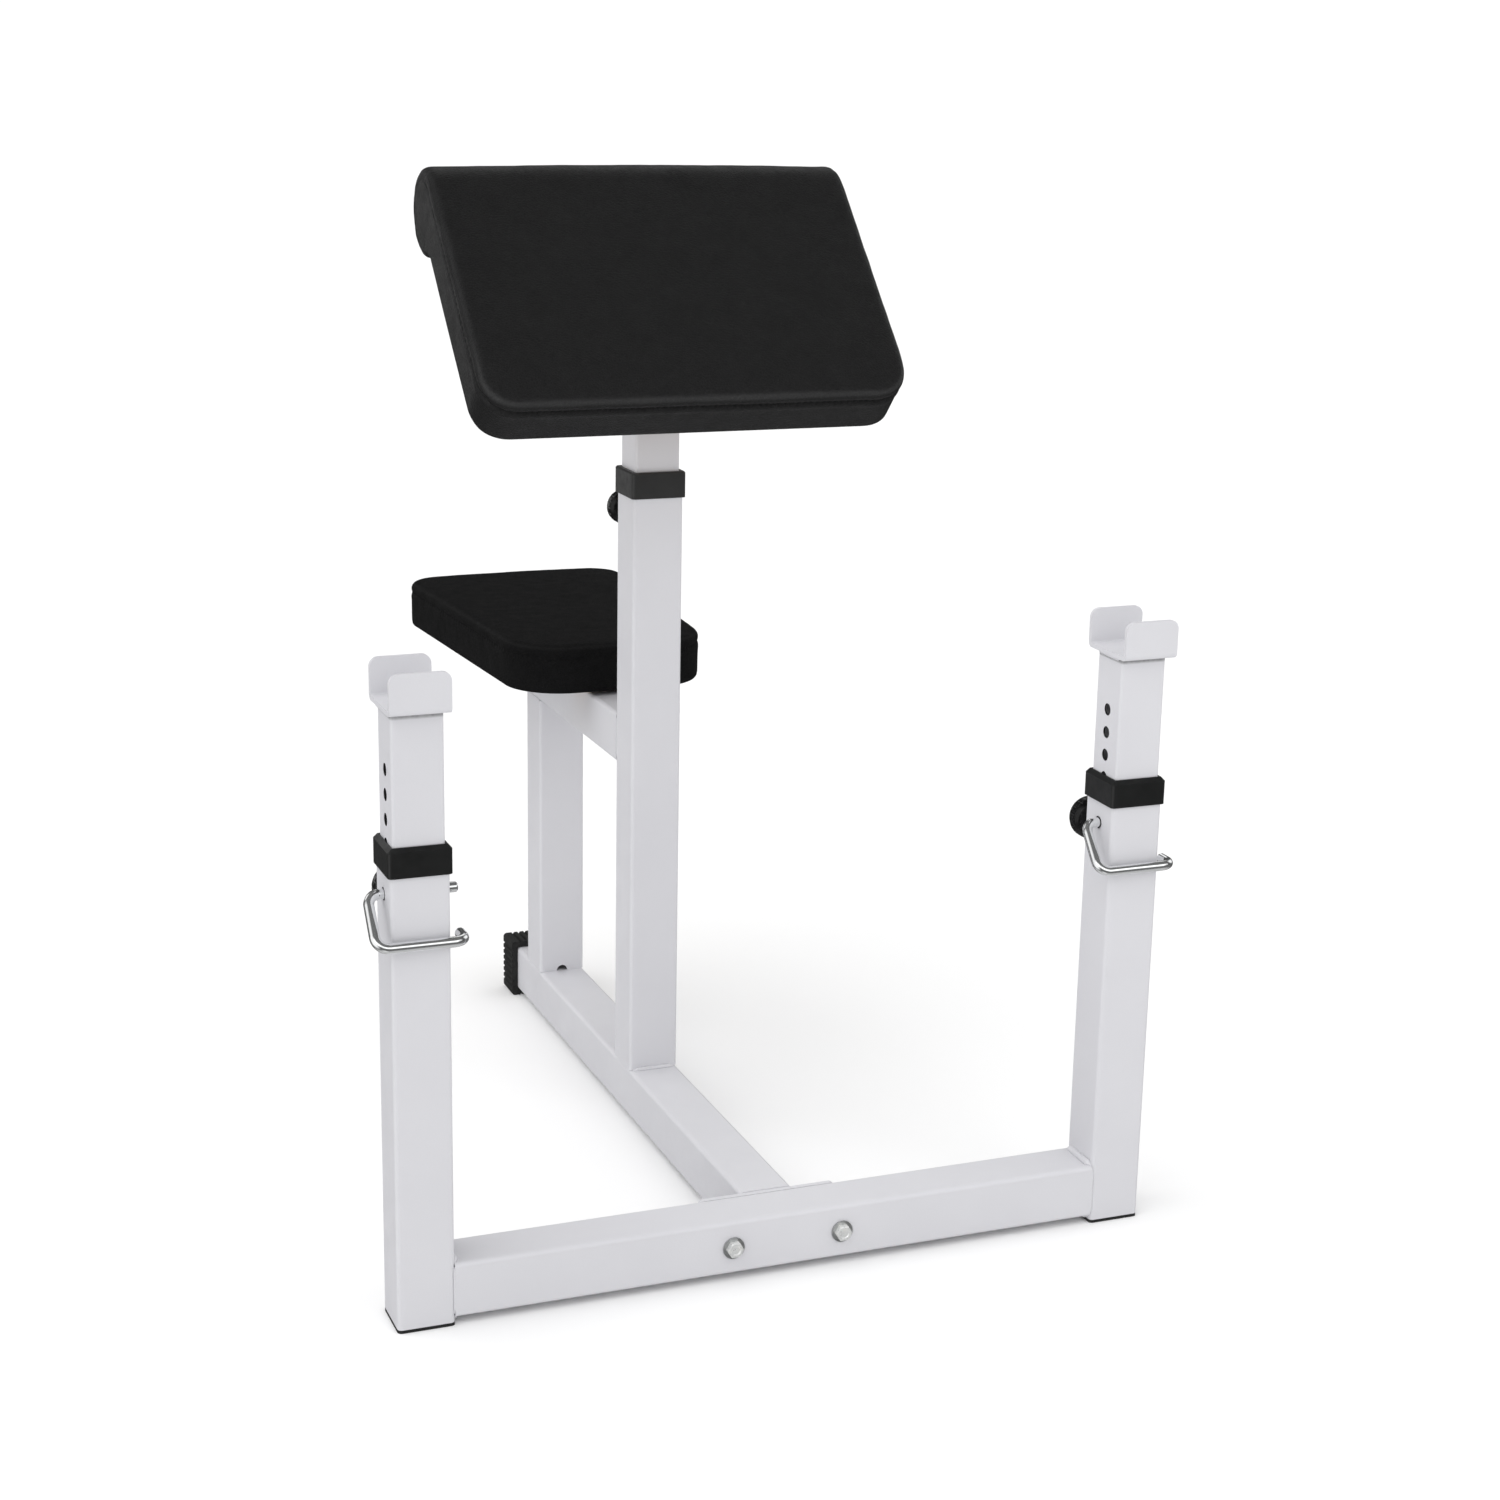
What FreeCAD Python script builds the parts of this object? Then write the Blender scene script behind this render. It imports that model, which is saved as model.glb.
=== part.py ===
import FreeCAD, Part
import math
import os

import Sketcher
from FreeCAD import Placement, Rotation
from FreeCAD import Vector as V

# ---------------------------------------------------------------------------
# Preacher curl bench, millimetres.
#   +X  to the right for someone standing on the bar side
#   +Y  from the bar rests towards the seat
#   +Z  up, floor at z = 0
# The origin is on the floor, in the middle of the bench's footprint.
# ---------------------------------------------------------------------------
DIMS = [
    # square tube of the welded frame
    ("tube_w", 50.0), ("tube_t", 1.5), ("tube_r", 4.0),
    # telescoping tube: bar rests and pad mast
    ("slide_w", 44.0), ("slide_t", 1.5), ("slide_r", 3.0),
    # front frame
    ("up_x", 330.0), ("up_y", -403.0), ("up_foot", 3.0), ("up_top", 423.0),
    ("beam_d", 50.0), ("beam_low", 7.0),
    # bolted joint between the front frame and the base tube
    ("plate_t", 5.0), ("plate_half", 66.0), ("plate_low", 7.0), ("plate_high", 56.0),
    ("bolt_x", 52.0), ("bolt_z", 32.0), ("bolt_r", 4.0), ("bolt_hole_r", 4.25), ("bolt_flat", 13.0), ("bolt_head", 5.3), ("washer_r", 10.0),
    # rear frame
    ("base_low", 7.0), ("base_end", 354.0),
    ("post_y", -42.0), ("post_top", 660.0),
    ("seat_post_y", 263.5), ("carrier_low", 367.0), ("carrier_end", 288.5),
    ("vent_r", 6.0),
    # plastic guide collars
    ("collar_w", 54.0), ("collar_skirt", 19.0), ("collar_lip", 6.0), ("collar_bevel", 3.6), ("collar_r", 3.6),
    ("mast_collar_skirt", 22.0), ("mast_collar_lip", 3.0), ("mast_collar_bevel", 1.4), ("sleeve_w", 46.8), ("sleeve_len", 28.0), ("guide_w", 44.6),
    # feet and plugs
    ("plug_w", 46.8), ("plug_len", 20.0), ("plug_bore", 40.0),
    ("foot_w", 64.0), ("foot_front", 326.0), ("foot_end", 360.0), ("rib_pitch", 7.0), ("rib_w", 4.0), ("rib_d", 2.2),
    # bar rests
    ("rest_low", 300.0), ("rest_top", 540.0), ("pitch", 21.0), ("index_r", 5.5),
    ("glide_w", 46.4), ("glide_t", 4.0), ("glide_len", 15.0), ("glide_in", 40.8),
    ("cradle_w", 51.5), ("cradle_d", 68.0), ("cradle_t", 4.0), ("cradle_front", 35.0), ("cradle_rear", 35.0),
    ("cradle_bend", 5.5), ("cradle_corner", 8.0),
    # lock pins
    ("pin_z", 384.0), ("pin_r", 4.5), ("pin_hole_r", 5.75), ("pin_tip_left", 37.0), ("pin_tip_right", 34.5),
    ("bail_left", 38.5), ("bail_right", 36.5), ("bail_y", -433.5), ("bail_z", 347.0), ("bail_back", 22.0), ("pin_bend", 9.0), ("bail_bend", 11.0),
    # clamp screws
    ("clamp_z", 370.0), ("stud_r", 4.9), ("stud_hole_r", 4.98), ("stud_gap", 0.4), ("stud_len", 38.0),
    ("nut_flat", 17.0), ("nut_h", 8.0), ("knob_gap", 18.0), ("knob_h", 30.0), ("knob_big", 20.0), ("knob_blind", 18.5),
    # spring plunger on the mast post
    ("pop_z", 613.0), ("pop_tip_r", 5.0), ("pop_hole_r", 5.08), ("pop_index_r", 5.6), ("pop_pitch", 25.0),
    ("pop_case_r", 11.0), ("pop_case_len", 30.0), ("pop_case_bore", 7.6), ("pop_case_end", 4.0),
    ("pop_stem_r", 4.0), ("pop_stem_hole", 4.08), ("pop_flange_r", 7.2), ("pop_flange_t", 3.0), ("pop_flange_at", 2.0),
    ("pop_tip_in", 10.0), ("pop_stem_end", 55.0), ("pop_knob_at", 35.0), ("pop_knob_r", 17.0), ("pop_knob_h", 30.0),
    ("spring_r", 5.6), ("spring_wire", 0.8), ("spring_turns", 5.0),
    # arm pad on its mast; the pad lies at 45 degrees
    ("mast_low", 440.0), ("pad_z", 823.0), ("pad_half", 206.0), ("pad_low", 158.5), ("pad_thick", 56.5),
    ("roll_s", 95.0), ("roll_n", 15.0), ("roll_r", 41.5), ("pad_corner", 34.0), ("pad_edge", 9.0),
    ("pad_board_half", 193.5), ("pad_board_low", 146.5), ("pad_board_high", 45.0), ("pad_board_t", 15.0),
    ("mount_half", 75.0), ("mount_low", 75.0), ("mount_high", 50.0), ("mount_t", 4.0),
    ("mount_bolt_x", 55.0), ("mount_bolt_low", 55.0), ("mount_bolt_high", 30.0),
    # seat
    ("seat_plate_x", 80.0), ("seat_plate_y", 220.0), ("seat_plate_half", 100.0), ("seat_plate_t", 5.0),
    ("seat_bolt_x", 60.0), ("seat_bolt_y", 75.0),
    ("seat_front", 50.0), ("seat_rear", 438.0), ("seat_front_half", 101.0), ("seat_rear_half", 125.0),
    ("seat_thick", 51.0), ("seat_round", 60.0), ("seat_round_rear", 35.0), ("seat_wrap", 4.0), ("seat_board_t", 12.0),
    ("seat_edge", 10.0),
    # small fasteners
    ("small_r", 4.0), ("small_hole_r", 4.3), ("small_flat", 13.0), ("small_head", 5.5), ("small_len", 16.0),
]
VALUES = dict(DIMS)

doc = FreeCAD.newDocument("PreacherBench")
sheet = doc.addObject("Spreadsheet::Sheet", "Dims")
for row, (alias, value) in enumerate(DIMS, 1):
    sheet.set("A%d" % row, alias.replace("_", " "))
    sheet.set("B%d" % row, repr(value))
    sheet.setAlias("B%d" % row, alias)
doc.recompute()


class Size:
    """A length: its value now, and the same length written in terms of the sheet's cells."""

    def __init__(self, value, text):
        self.value, self.text = value, text

    def _with(self, other, sign, work, swap=False):
        other = size(other)
        a, b = (other, self) if swap else (self, other)
        return Size(work(a.value, b.value), "(%s %s %s)" % (a.text, sign, b.text))

    def __add__(self, o): return self._with(o, "+", lambda a, b: a + b)
    def __radd__(self, o): return self._with(o, "+", lambda a, b: a + b, True)
    def __sub__(self, o): return self._with(o, "-", lambda a, b: a - b)
    def __rsub__(self, o): return self._with(o, "-", lambda a, b: a - b, True)
    def __mul__(self, o): return self._with(o, "*", lambda a, b: a * b)
    def __rmul__(self, o): return self._with(o, "*", lambda a, b: a * b, True)
    def __truediv__(self, o): return self._with(o, "/", lambda a, b: a / b)
    def __neg__(self): return Size(-self.value, "(0 - %s)" % self.text)


def size(x):
    return x if isinstance(x, Size) else Size(float(x), repr(float(x)))


class Sheet:
    def __getattr__(self, name):
        return Size(VALUES[name], "Dims." + name)


d = Sheet()
NODES = []


def bind(obj, **properties):
    for name, value in properties.items():
        obj.setExpression(name, size(value).text)


def place(obj, x=0, y=0, z=0, turn=None):
    """Put a sub-part in the bench: its position follows the sheet, its turn is fixed."""
    obj.Placement = Placement(V(size(x).value, size(y).value, size(z).value), turn or Rotation())
    for axis, value in zip("xyz", (x, y, z)):
        obj.setExpression("Placement.Base." + axis, size(value).text)


ALONG_X = Rotation(V(0, 1, 0), 90)    # local Z points along +X
ALONG_Y = Rotation(V(1, 0, 0), -90)   # local Z points along +Y, local Y down
SLOPE = Rotation(V(1, 0, 0), 45)      # local Y up the pad, local Z out of its face


def node(obj, label):
    obj.Label = label
    NODES.append(obj)
    return obj


# ---- sketches and features --------------------------------------------------
def origin(body, role):
    return [f for f in body.Origin.OriginFeatures if f.Role == role][0]


def sketch_on(body, plane, raised=None):
    sk = body.newObject("Sketcher::SketchObject", "Sketch")
    sk.AttachmentSupport = [(origin(body, plane), "")]
    sk.MapMode = "FlatFace"
    if raised is not None:
        sk.AttachmentOffset = Placement(V(0, 0, size(raised).value), Rotation())
        sk.setExpression("AttachmentOffset.Base.z", size(raised).text)
    return sk


def outline(sk, points):
    """A closed run of straight lines whose corners are all dimensioned from the sketch's origin."""
    points = [(size(x), size(y)) for x, y in points]
    first = sk.GeometryCount
    n = len(points)
    for i in range(n):
        a, b = points[i], points[(i + 1) % n]
        sk.addGeometry(Part.LineSegment(V(a[0].value, a[1].value, 0), V(b[0].value, b[1].value, 0)), False)
    for i in range(n):
        sk.addConstraint(Sketcher.Constraint("Coincident", first + i, 2, first + (i + 1) % n, 1))
    for i, (x, y) in enumerate(points):
        for kind, value, key in (("DistanceX", x, "x"), ("DistanceY", y, "y")):
            c = sk.addConstraint(Sketcher.Constraint(kind, -1, 1, first + i, 1, value.value))
            name = "%s%d" % (key, first + i)
            sk.renameConstraint(c, name)
            sk.setExpression("Constraints." + name, value.text)
    return sk


def rectangle(sk, width, depth, cx=0, cy=0):
    w, h, cx, cy = size(width) / 2, size(depth) / 2, size(cx), size(cy)
    return outline(sk, [(cx - w, cy - h), (cx + w, cy - h), (cx + w, cy + h), (cx - w, cy + h)])


def circle(sk, radius, cx=0, cy=0):
    radius, cx, cy = size(radius), size(cx), size(cy)
    g = sk.addGeometry(Part.Circle(V(cx.value, cy.value, 0), V(0, 0, 1), radius.value), False)
    for kind, value, key in (("Radius", radius, "r"), ("DistanceX", cx, "cx"), ("DistanceY", cy, "cy")):
        if kind == "Radius":
            c = sk.addConstraint(Sketcher.Constraint(kind, g, value.value))
        else:
            c = sk.addConstraint(Sketcher.Constraint(kind, -1, 1, g, 3, value.value))
        name = "%s%d" % (key, g)
        sk.renameConstraint(c, name)
        sk.setExpression("Constraints." + name, value.text)
    return sk


def pad(body, sk, length, both=False, down=False):
    f = body.newObject("PartDesign::Pad", "Pad")
    f.Profile = sk
    bind(f, Length=length)
    f.SideType = "Symmetric" if both else "One side"
    f.Reversed = down
    doc.recompute()
    return f


def pocket(body, sk, length=None, both=False, flip=False):
    before = body.Shape.Volume
    f = body.newObject("PartDesign::Pocket", "Pocket")
    f.Profile = sk
    if length is None:
        f.Type = "ThroughAll"
    else:
        bind(f, Length=length)
    f.SideType = "Symmetric" if both else "One side"
    f.Reversed = flip
    doc.recompute()
    if not body.Shape.Volume < before - 1e-3:
        raise RuntimeError("a pocket of %s cuts nothing" % body.Name)
    return f


def edges_where(shape, test):
    names = []
    for i, e in enumerate(shape.Edges, 1):
        if test(e):
            names.append("Edge%d" % i)
    return names


def dress(body, kind, test, amount):
    base = body.Tip
    names = edges_where(base.Shape, test)
    if not names:
        raise RuntimeError("no edge to %s on %s" % (kind, body.Name))
    f = body.newObject("PartDesign::" + kind, kind)
    f.Base = (base, names)
    bind(f, **{"Radius" if kind == "Fillet" else "Size": amount})
    doc.recompute()
    return f


def fillet(body, test, radius):
    return dress(body, "Fillet", test, radius)


def chamfer(body, test, amount):
    return dress(body, "Chamfer", test, amount)


def row_of(body, feature, axis, length, count):
    f = body.newObject("PartDesign::LinearPattern", "Row")
    f.Originals = [feature]
    f.Direction = (origin(body, axis), [""])
    bind(f, Length=length)
    f.Occurrences = count
    body.Tip = f
    doc.recompute()
    return f


def ring_of(body, feature, count):
    f = body.newObject("PartDesign::PolarPattern", "Ring")
    f.Originals = [feature]
    f.Axis = (origin(body, "Z_Axis"), [""])
    f.Angle = 360
    f.Occurrences = count
    body.Tip = f
    doc.recompute()
    return f


def new_body(label):
    return node(doc.addObject("PartDesign::Body", "Body"), label)


def runs_along(edge, axis):
    """A straight edge parallel to a local axis."""
    if edge.Curve.TypeId != "Part::GeomLine":
        return False
    a, b = edge.Vertexes[0].Point, edge.Vertexes[-1].Point
    v = (b - a).normalize()
    return abs(abs((v.x, v.y, v.z)["xyz".index(axis)]) - 1) < 1e-6


def at(edge, **where):
    """Every end of the edge has these coordinates (absolute values)."""
    for p in edge.Vertexes:
        for axis, value in where.items():
            if abs(abs((p.X, p.Y, p.Z)["xyz".index(axis)]) - abs(value)) > 1e-3:
                return False
    return True


def square_tube(label, width, depth, wall, corner, length):
    """Rectangular tube with rounded corners, standing on the local XY plane along local Z."""
    width, depth, wall, corner, length = [size(q) for q in (width, depth, wall, corner, length)]
    body = new_body(label)
    pad(body, rectangle(sketch_on(body, "XY_Plane"), width, depth), length)
    fillet(body, lambda e: runs_along(e, "z"), corner)
    pocket(body, rectangle(sketch_on(body, "XY_Plane"), width - 2 * wall, depth - 2 * wall), both=True)
    wi, di = width.value / 2 - wall.value, depth.value / 2 - wall.value
    fillet(body, lambda e: runs_along(e, "z") and at(e, x=wi, y=di), corner - wall)
    return body


# ---------------------------------------------------------------------------
# Front frame: two uprights welded to the ends of a cross tube
# ---------------------------------------------------------------------------
for side, sign in (("left", -1), ("right", 1)):
    up = square_tube(side + "_upright", d.tube_w, d.tube_w, d.tube_t, d.tube_r, d.up_top - d.up_foot)
    # the lock pin passes straight through both side walls
    pocket(up, circle(sketch_on(up, "YZ_Plane"), d.pin_hole_r, 0, d.pin_z - d.up_foot), both=True)
    # the clamp screw enters through the rear wall only
    pocket(up, circle(sketch_on(up, "XZ_Plane"), d.stud_hole_r, 0, d.clamp_z - d.up_foot))
    place(up, sign * d.up_x, d.up_y, d.up_foot)

beam_len = 2 * d.up_x - d.tube_w
beam = square_tube("front_crossbeam", d.tube_w, d.beam_d, d.tube_t, d.tube_r, beam_len)
for sign in (-1, 1):
    pocket(beam, circle(sketch_on(beam, "XZ_Plane"), d.bolt_hole_r, d.beam_low + d.tube_w / 2 - d.bolt_z,
                        beam_len / 2 + sign * d.bolt_x), both=True)
place(beam, -1 * beam_len / 2, d.up_y, d.beam_low + d.tube_w / 2, ALONG_X)

# ---------------------------------------------------------------------------
# Rear frame: base tube with its bolting plate, two posts and the seat carrier
# ---------------------------------------------------------------------------
plate_y = d.up_y + d.beam_d / 2
plate_mid = (d.plate_low + d.plate_high) / 2
plate = new_body("base_flange_plate")
pad(plate, rectangle(sketch_on(plate, "XY_Plane"), 2 * d.plate_half, d.plate_high - d.plate_low), d.plate_t)
fillet(plate, lambda e: runs_along(e, "z"), 5)
sk = sketch_on(plate, "XY_Plane")
for sign in (-1, 1):
    circle(sk, d.bolt_hole_r, sign * d.bolt_x, plate_mid - d.bolt_z)
pocket(plate, sk, both=True)
place(plate, 0, plate_y, plate_mid, ALONG_Y)

base_y = plate_y + d.plate_t
base = square_tube("base_tube", d.tube_w, d.tube_w, d.tube_t, d.tube_r, d.base_end - base_y)
place(base, 0, base_y, d.base_low + d.tube_w / 2, ALONG_Y)

deck = d.base_low + d.tube_w
post = square_tube("main_post", d.tube_w, d.tube_w, d.tube_t, d.tube_r, d.post_top - deck)
pocket(post, circle(sketch_on(post, "XZ_Plane"), d.pop_hole_r, 0, d.pop_z - deck))
place(post, 0, d.post_y, deck)

seat_post = square_tube("seat_post", d.tube_w, d.tube_w, d.tube_t, d.tube_r, d.carrier_low - deck)
# half-round vent at the foot of the front wall
pocket(seat_post, circle(sketch_on(seat_post, "XZ_Plane"), d.vent_r), flip=True)
place(seat_post, 0, d.seat_post_y, deck)

carrier_y = d.post_y + d.tube_w / 2
carrier = square_tube("seat_support_tube", d.tube_w, d.tube_w, d.tube_t, d.tube_r, d.carrier_end - carrier_y)
place(carrier, 0, carrier_y, d.carrier_low + d.tube_w / 2, ALONG_Y)


# ---------------------------------------------------------------------------
# Plastic guide collars: an outer skirt, a lip and a thin inner sleeve
# ---------------------------------------------------------------------------
def guide_collar(label, skirt, lip, bevel):
    body = new_body(label)
    skirt = size(skirt)
    height = skirt + lip
    pad(body, rectangle(sketch_on(body, "XY_Plane"), d.collar_w, d.collar_w), height)
    fillet(body, lambda e: runs_along(e, "z"), d.collar_r)
    top = height.value
    chamfer(body, lambda e: at(e, z=top), bevel)
    pocket(body, rectangle(sketch_on(body, "XY_Plane"), d.tube_w, d.tube_w), skirt, flip=True)
    pad(body, rectangle(sketch_on(body, "XY_Plane", skirt), d.sleeve_w, d.sleeve_w), d.sleeve_len, down=True)
    half = d.sleeve_w.value / 2
    fillet(body, lambda e: runs_along(e, "z") and at(e, x=half, y=half), 3.0)
    pocket(body, rectangle(sketch_on(body, "XY_Plane"), d.guide_w, d.guide_w), both=True)
    return body


for side, sign in (("left", -1), ("right", 1)):
    collar = guide_collar(side + "_guide_collar", d.collar_skirt, d.collar_lip, d.collar_bevel)
    place(collar, sign * d.up_x, d.up_y, d.up_top - d.collar_skirt)
collar = guide_collar("mast_guide_collar", d.mast_collar_skirt, d.mast_collar_lip, d.mast_collar_bevel)
place(collar, 0, d.post_y, d.post_top - d.mast_collar_skirt)


# ---------------------------------------------------------------------------
# Feet and end plugs
# ---------------------------------------------------------------------------
def tube_plug(label, flange, flange_t, insert, length, bore, corner, insert_corner):
    """Square plug: a flange the size of the tube and a hollow insert above it."""
    body = new_body(label)
    flange, flange_t, insert, length = [size(q) for q in (flange, flange_t, insert, length)]
    pad(body, rectangle(sketch_on(body, "XY_Plane"), flange, flange), flange_t)
    fillet(body, lambda e: runs_along(e, "z"), corner)
    pad(body, rectangle(sketch_on(body, "XY_Plane"), insert, insert), flange_t + length)
    half = insert.value / 2
    fillet(body, lambda e: runs_along(e, "z") and at(e, x=half, y=half), insert_corner)
    sk = sketch_on(body, "XY_Plane", flange_t)
    pocket(body, rectangle(sk, bore, bore), length, flip=True)
    return body


for side, sign in (("left", -1), ("right", 1)):
    plug = tube_plug(side + "_foot_plug", d.tube_w, d.up_foot, d.plug_w, d.plug_len, d.plug_bore, d.tube_r, 3.0)
    place(plug, sign * d.up_x, d.up_y, 0)

plug = tube_plug("seat_tube_plug", d.tube_w, 3.0, d.plug_w, d.plug_len, d.plug_bore, d.tube_r, 3.0)
place(plug, 0, d.carrier_end + 3, d.carrier_low + d.tube_w / 2, Rotation(V(1, 0, 0), 90))

# ribbed rubber cap drawn over the rear end of the base tube
foot = new_body("rear_foot_cap")
foot_len = d.foot_end - d.foot_front
pad(foot, rectangle(sketch_on(foot, "XY_Plane"), d.foot_w, d.foot_w), foot_len)
fillet(foot, lambda e: runs_along(e, "z"), 4.0)
half = d.foot_w / 2
start = -3 * d.rib_pitch
for turned in (False, True):
    for sign in (-1, 1):
        sk = sketch_on(foot, "XY_Plane")
        corners = [(start - d.rib_w / 2, sign * (half + 0.5)), (start, sign * (half - d.rib_d)),
                   (start + d.rib_w / 2, sign * (half + 0.5))]
        outline(sk, [(y, x) if turned else (x, y) for x, y in corners])
        groove = pocket(foot, sk, both=True)
        row_of(foot, groove, "Y_Axis" if turned else "X_Axis", 6 * d.rib_pitch, 7)
pocket(foot, rectangle(sketch_on(foot, "XY_Plane"), d.tube_w, d.tube_w), d.base_end - d.foot_front, flip=True)
place(foot, 0, d.foot_front, d.base_low + d.tube_w / 2, ALONG_Y)

# ---------------------------------------------------------------------------
# Bar rests: telescoping tube, lower glide and bent-plate cradle
# ---------------------------------------------------------------------------
for side, sign in (("left", -1), ("right", 1)):
    rest = square_tube(side + "_rest_tube", d.slide_w, d.slide_w, d.slide_t, d.slide_r, d.rest_top - d.rest_low)
    hole = pocket(rest, circle(sketch_on(rest, "YZ_Plane"), d.index_r, 0, d.pin_z - d.pitch - d.rest_low), both=True)
    row_of(rest, hole, "Z_Axis", 6 * d.pitch, 7)
    place(rest, sign * d.up_x, d.up_y, d.rest_low)

    glide = tube_plug(side + "_rest_glide", d.glide_w, d.glide_t, d.glide_in, d.glide_len, 34.0, 3.0, 2.0)
    place(glide, sign * d.up_x, d.up_y, d.rest_low - d.glide_t)

    cradle = new_body(side + "_bar_cradle")
    t, w, f, r = d.cradle_t, d.cradle_d, d.cradle_front, d.cradle_rear
    sk = outline(sketch_on(cradle, "YZ_Plane"), [(0, 0), (w, 0), (w, r), (w - t, r), (w - t, t), (t, t), (t, f), (0, f)])
    pad(cradle, sk, d.cradle_w, both=True)
    cw, ct, cf, cr = w.value, t.value, f.value, r.value
    fillet(cradle, lambda e: runs_along(e, "x") and at(e, z=0), d.cradle_bend)
    fillet(cradle, lambda e: runs_along(e, "x") and at(e, z=ct), d.cradle_bend - t)
    fillet(cradle, lambda e: runs_along(e, "y") and (at(e, z=cf) or at(e, z=cr)), d.cradle_corner)
    place(cradle, sign * d.up_x, d.up_y - d.cradle_d / 2, d.rest_top)


# ---------------------------------------------------------------------------
# Lock pins: one bent rod each, with a bail that wraps round the upright
# ---------------------------------------------------------------------------
def bent_rod(points, bends, radius):
    """Round rod along straight runs joined by tangent arcs."""
    edges, last = [], points[0]
    for i in range(1, len(points) - 1):
        p, a, b = points[i], points[i - 1], points[i + 1]
        u, v = (a - p).normalize(), (b - p).normalize()
        half = math.acos(max(-1, min(1, u.dot(v)))) / 2
        cut = bends[i - 1] / math.tan(half)
        p1, p2 = p + u * cut, p + v * cut
        mid_dir = (u + v).normalize()
        centre = p + mid_dir * (bends[i - 1] / math.sin(half))
        edges.append(Part.LineSegment(last, p1).toShape())
        edges.append(Part.Arc(p1, centre - mid_dir * bends[i - 1], p2).toShape())
        last = p2
    edges.append(Part.LineSegment(last, points[-1]).toShape())
    path = Part.Wire(edges)
    start = (points[1] - points[0]).normalize()
    ring = Part.Wire([Part.Circle(points[0], start, radius).toShape()])
    solid = path.makePipeShell([ring], True, False)
    # both tips are bevelled
    tips = edges_where(solid, lambda e: e.Curve.TypeId == "Part::GeomCircle"
                       and min((e.Curve.Center - points[0]).Length, (e.Curve.Center - points[-1]).Length) < 1e-3)
    ends = [solid.Edges[int(n[4:]) - 1] for n in tips]
    return solid.makeChamfer(1.2, ends), path.Length


for side, sign in (("left", -1), ("right", 1)):
    x = sign * sheet.up_x
    y, z = sheet.up_y, sheet.pin_z
    tip = sheet.pin_tip_left if sign < 0 else sheet.pin_tip_right
    route = [V(x + tip, y, z), V(x - sheet.bail_left, y, z),
             V(x - sheet.bail_left, sheet.bail_y, sheet.bail_z), V(x + sheet.bail_right, sheet.bail_y, sheet.bail_z),
             V(x + sheet.bail_right, sheet.bail_y + sheet.bail_back, sheet.bail_z)]
    shape, run = bent_rod(route, [sheet.pin_bend, sheet.bail_bend, sheet.bail_bend], sheet.pin_r)
    pin = node(doc.addObject("Part::Feature", "LockPin"), side + "_lock_pin")
    pin.Shape = shape
    pin.Placement = Placement()
    print("%s lock pin: rod %.1f mm long, volume %.0f, section times length %.0f"
          % (side, run, shape.Volume, math.pi * sheet.pin_r ** 2 * run))


# ---------------------------------------------------------------------------
# Turned knobs
# ---------------------------------------------------------------------------
def knob(label, radius, height, bore, blind, flutes):
    """Moulded knob: hub, round rim with fine grip flutes and a domed end, turned about local Z with the hub at z = 0."""
    body = new_body(label)
    r, h = size(radius), size(height)
    sk = sketch_on(body, "XZ_Plane")
    outline(sk, [(0, 0), (r * 0.5, 0), (r * 0.5, h * 0.18), (r * 0.84, h * 0.26), (r, h * 0.38), (r, h * 0.66),
                 (r * 0.86, h * 0.86), (r * 0.5, h), (0, h)])
    f = body.newObject("PartDesign::Revolution", "Turned")
    f.Profile = sk
    f.ReferenceAxis = (sk, ["V_Axis"])
    f.Angle = 360
    doc.recompute()
    rv, hv = r.value, h.value
    fillet(body, lambda e: e.Curve.TypeId == "Part::GeomCircle" and e.Curve.Center.z > hv * 0.2, 5.0)
    sk = sketch_on(body, "XY_Plane", h * 0.18)
    circle(sk, r * 0.075, r * 1.042, 0)
    cut = pocket(body, sk, h, flip=True)
    ring_of(body, cut, flutes)
    sk = sketch_on(body, "XY_Plane")
    pocket(body, circle(sk, bore), blind, flip=True)
    return body


# ---------------------------------------------------------------------------
# Clamp screws on the rear faces of the uprights
# ---------------------------------------------------------------------------
rear_face = d.up_y + d.tube_w / 2
for side, sign in (("left", -1), ("right", 1)):
    nut = new_body(side + "_clamp_nut")
    c = d.nut_flat / math.sqrt(3)
    pad(nut, outline(sketch_on(nut, "XY_Plane"), [(c * math.cos(math.radians(a)), c * math.sin(math.radians(a)))
                                                  for a in range(0, 360, 60)]), d.nut_h)
    pocket(nut, circle(sketch_on(nut, "XY_Plane"), d.stud_hole_r), both=True)
    chamfer(nut, lambda e: e.Curve.TypeId == "Part::GeomCircle", 0.8)
    place(nut, sign * d.up_x, rear_face, d.clamp_z, ALONG_Y)

    stud = new_body(side + "_clamp_stud")
    pad(stud, circle(sketch_on(stud, "XY_Plane"), d.stud_r), d.stud_len)
    chamfer(stud, lambda e: e.Curve.TypeId == "Part::GeomCircle", 1.0)
    place(stud, sign * d.up_x, d.up_y + d.slide_w / 2 + d.stud_gap, d.clamp_z, ALONG_Y)

    grip = knob(side + "_clamp_knob", d.knob_big, d.knob_h, d.stud_hole_r, d.knob_blind, 20)
    place(grip, sign * d.up_x, rear_face + d.knob_gap, d.clamp_z, ALONG_Y)

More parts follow.
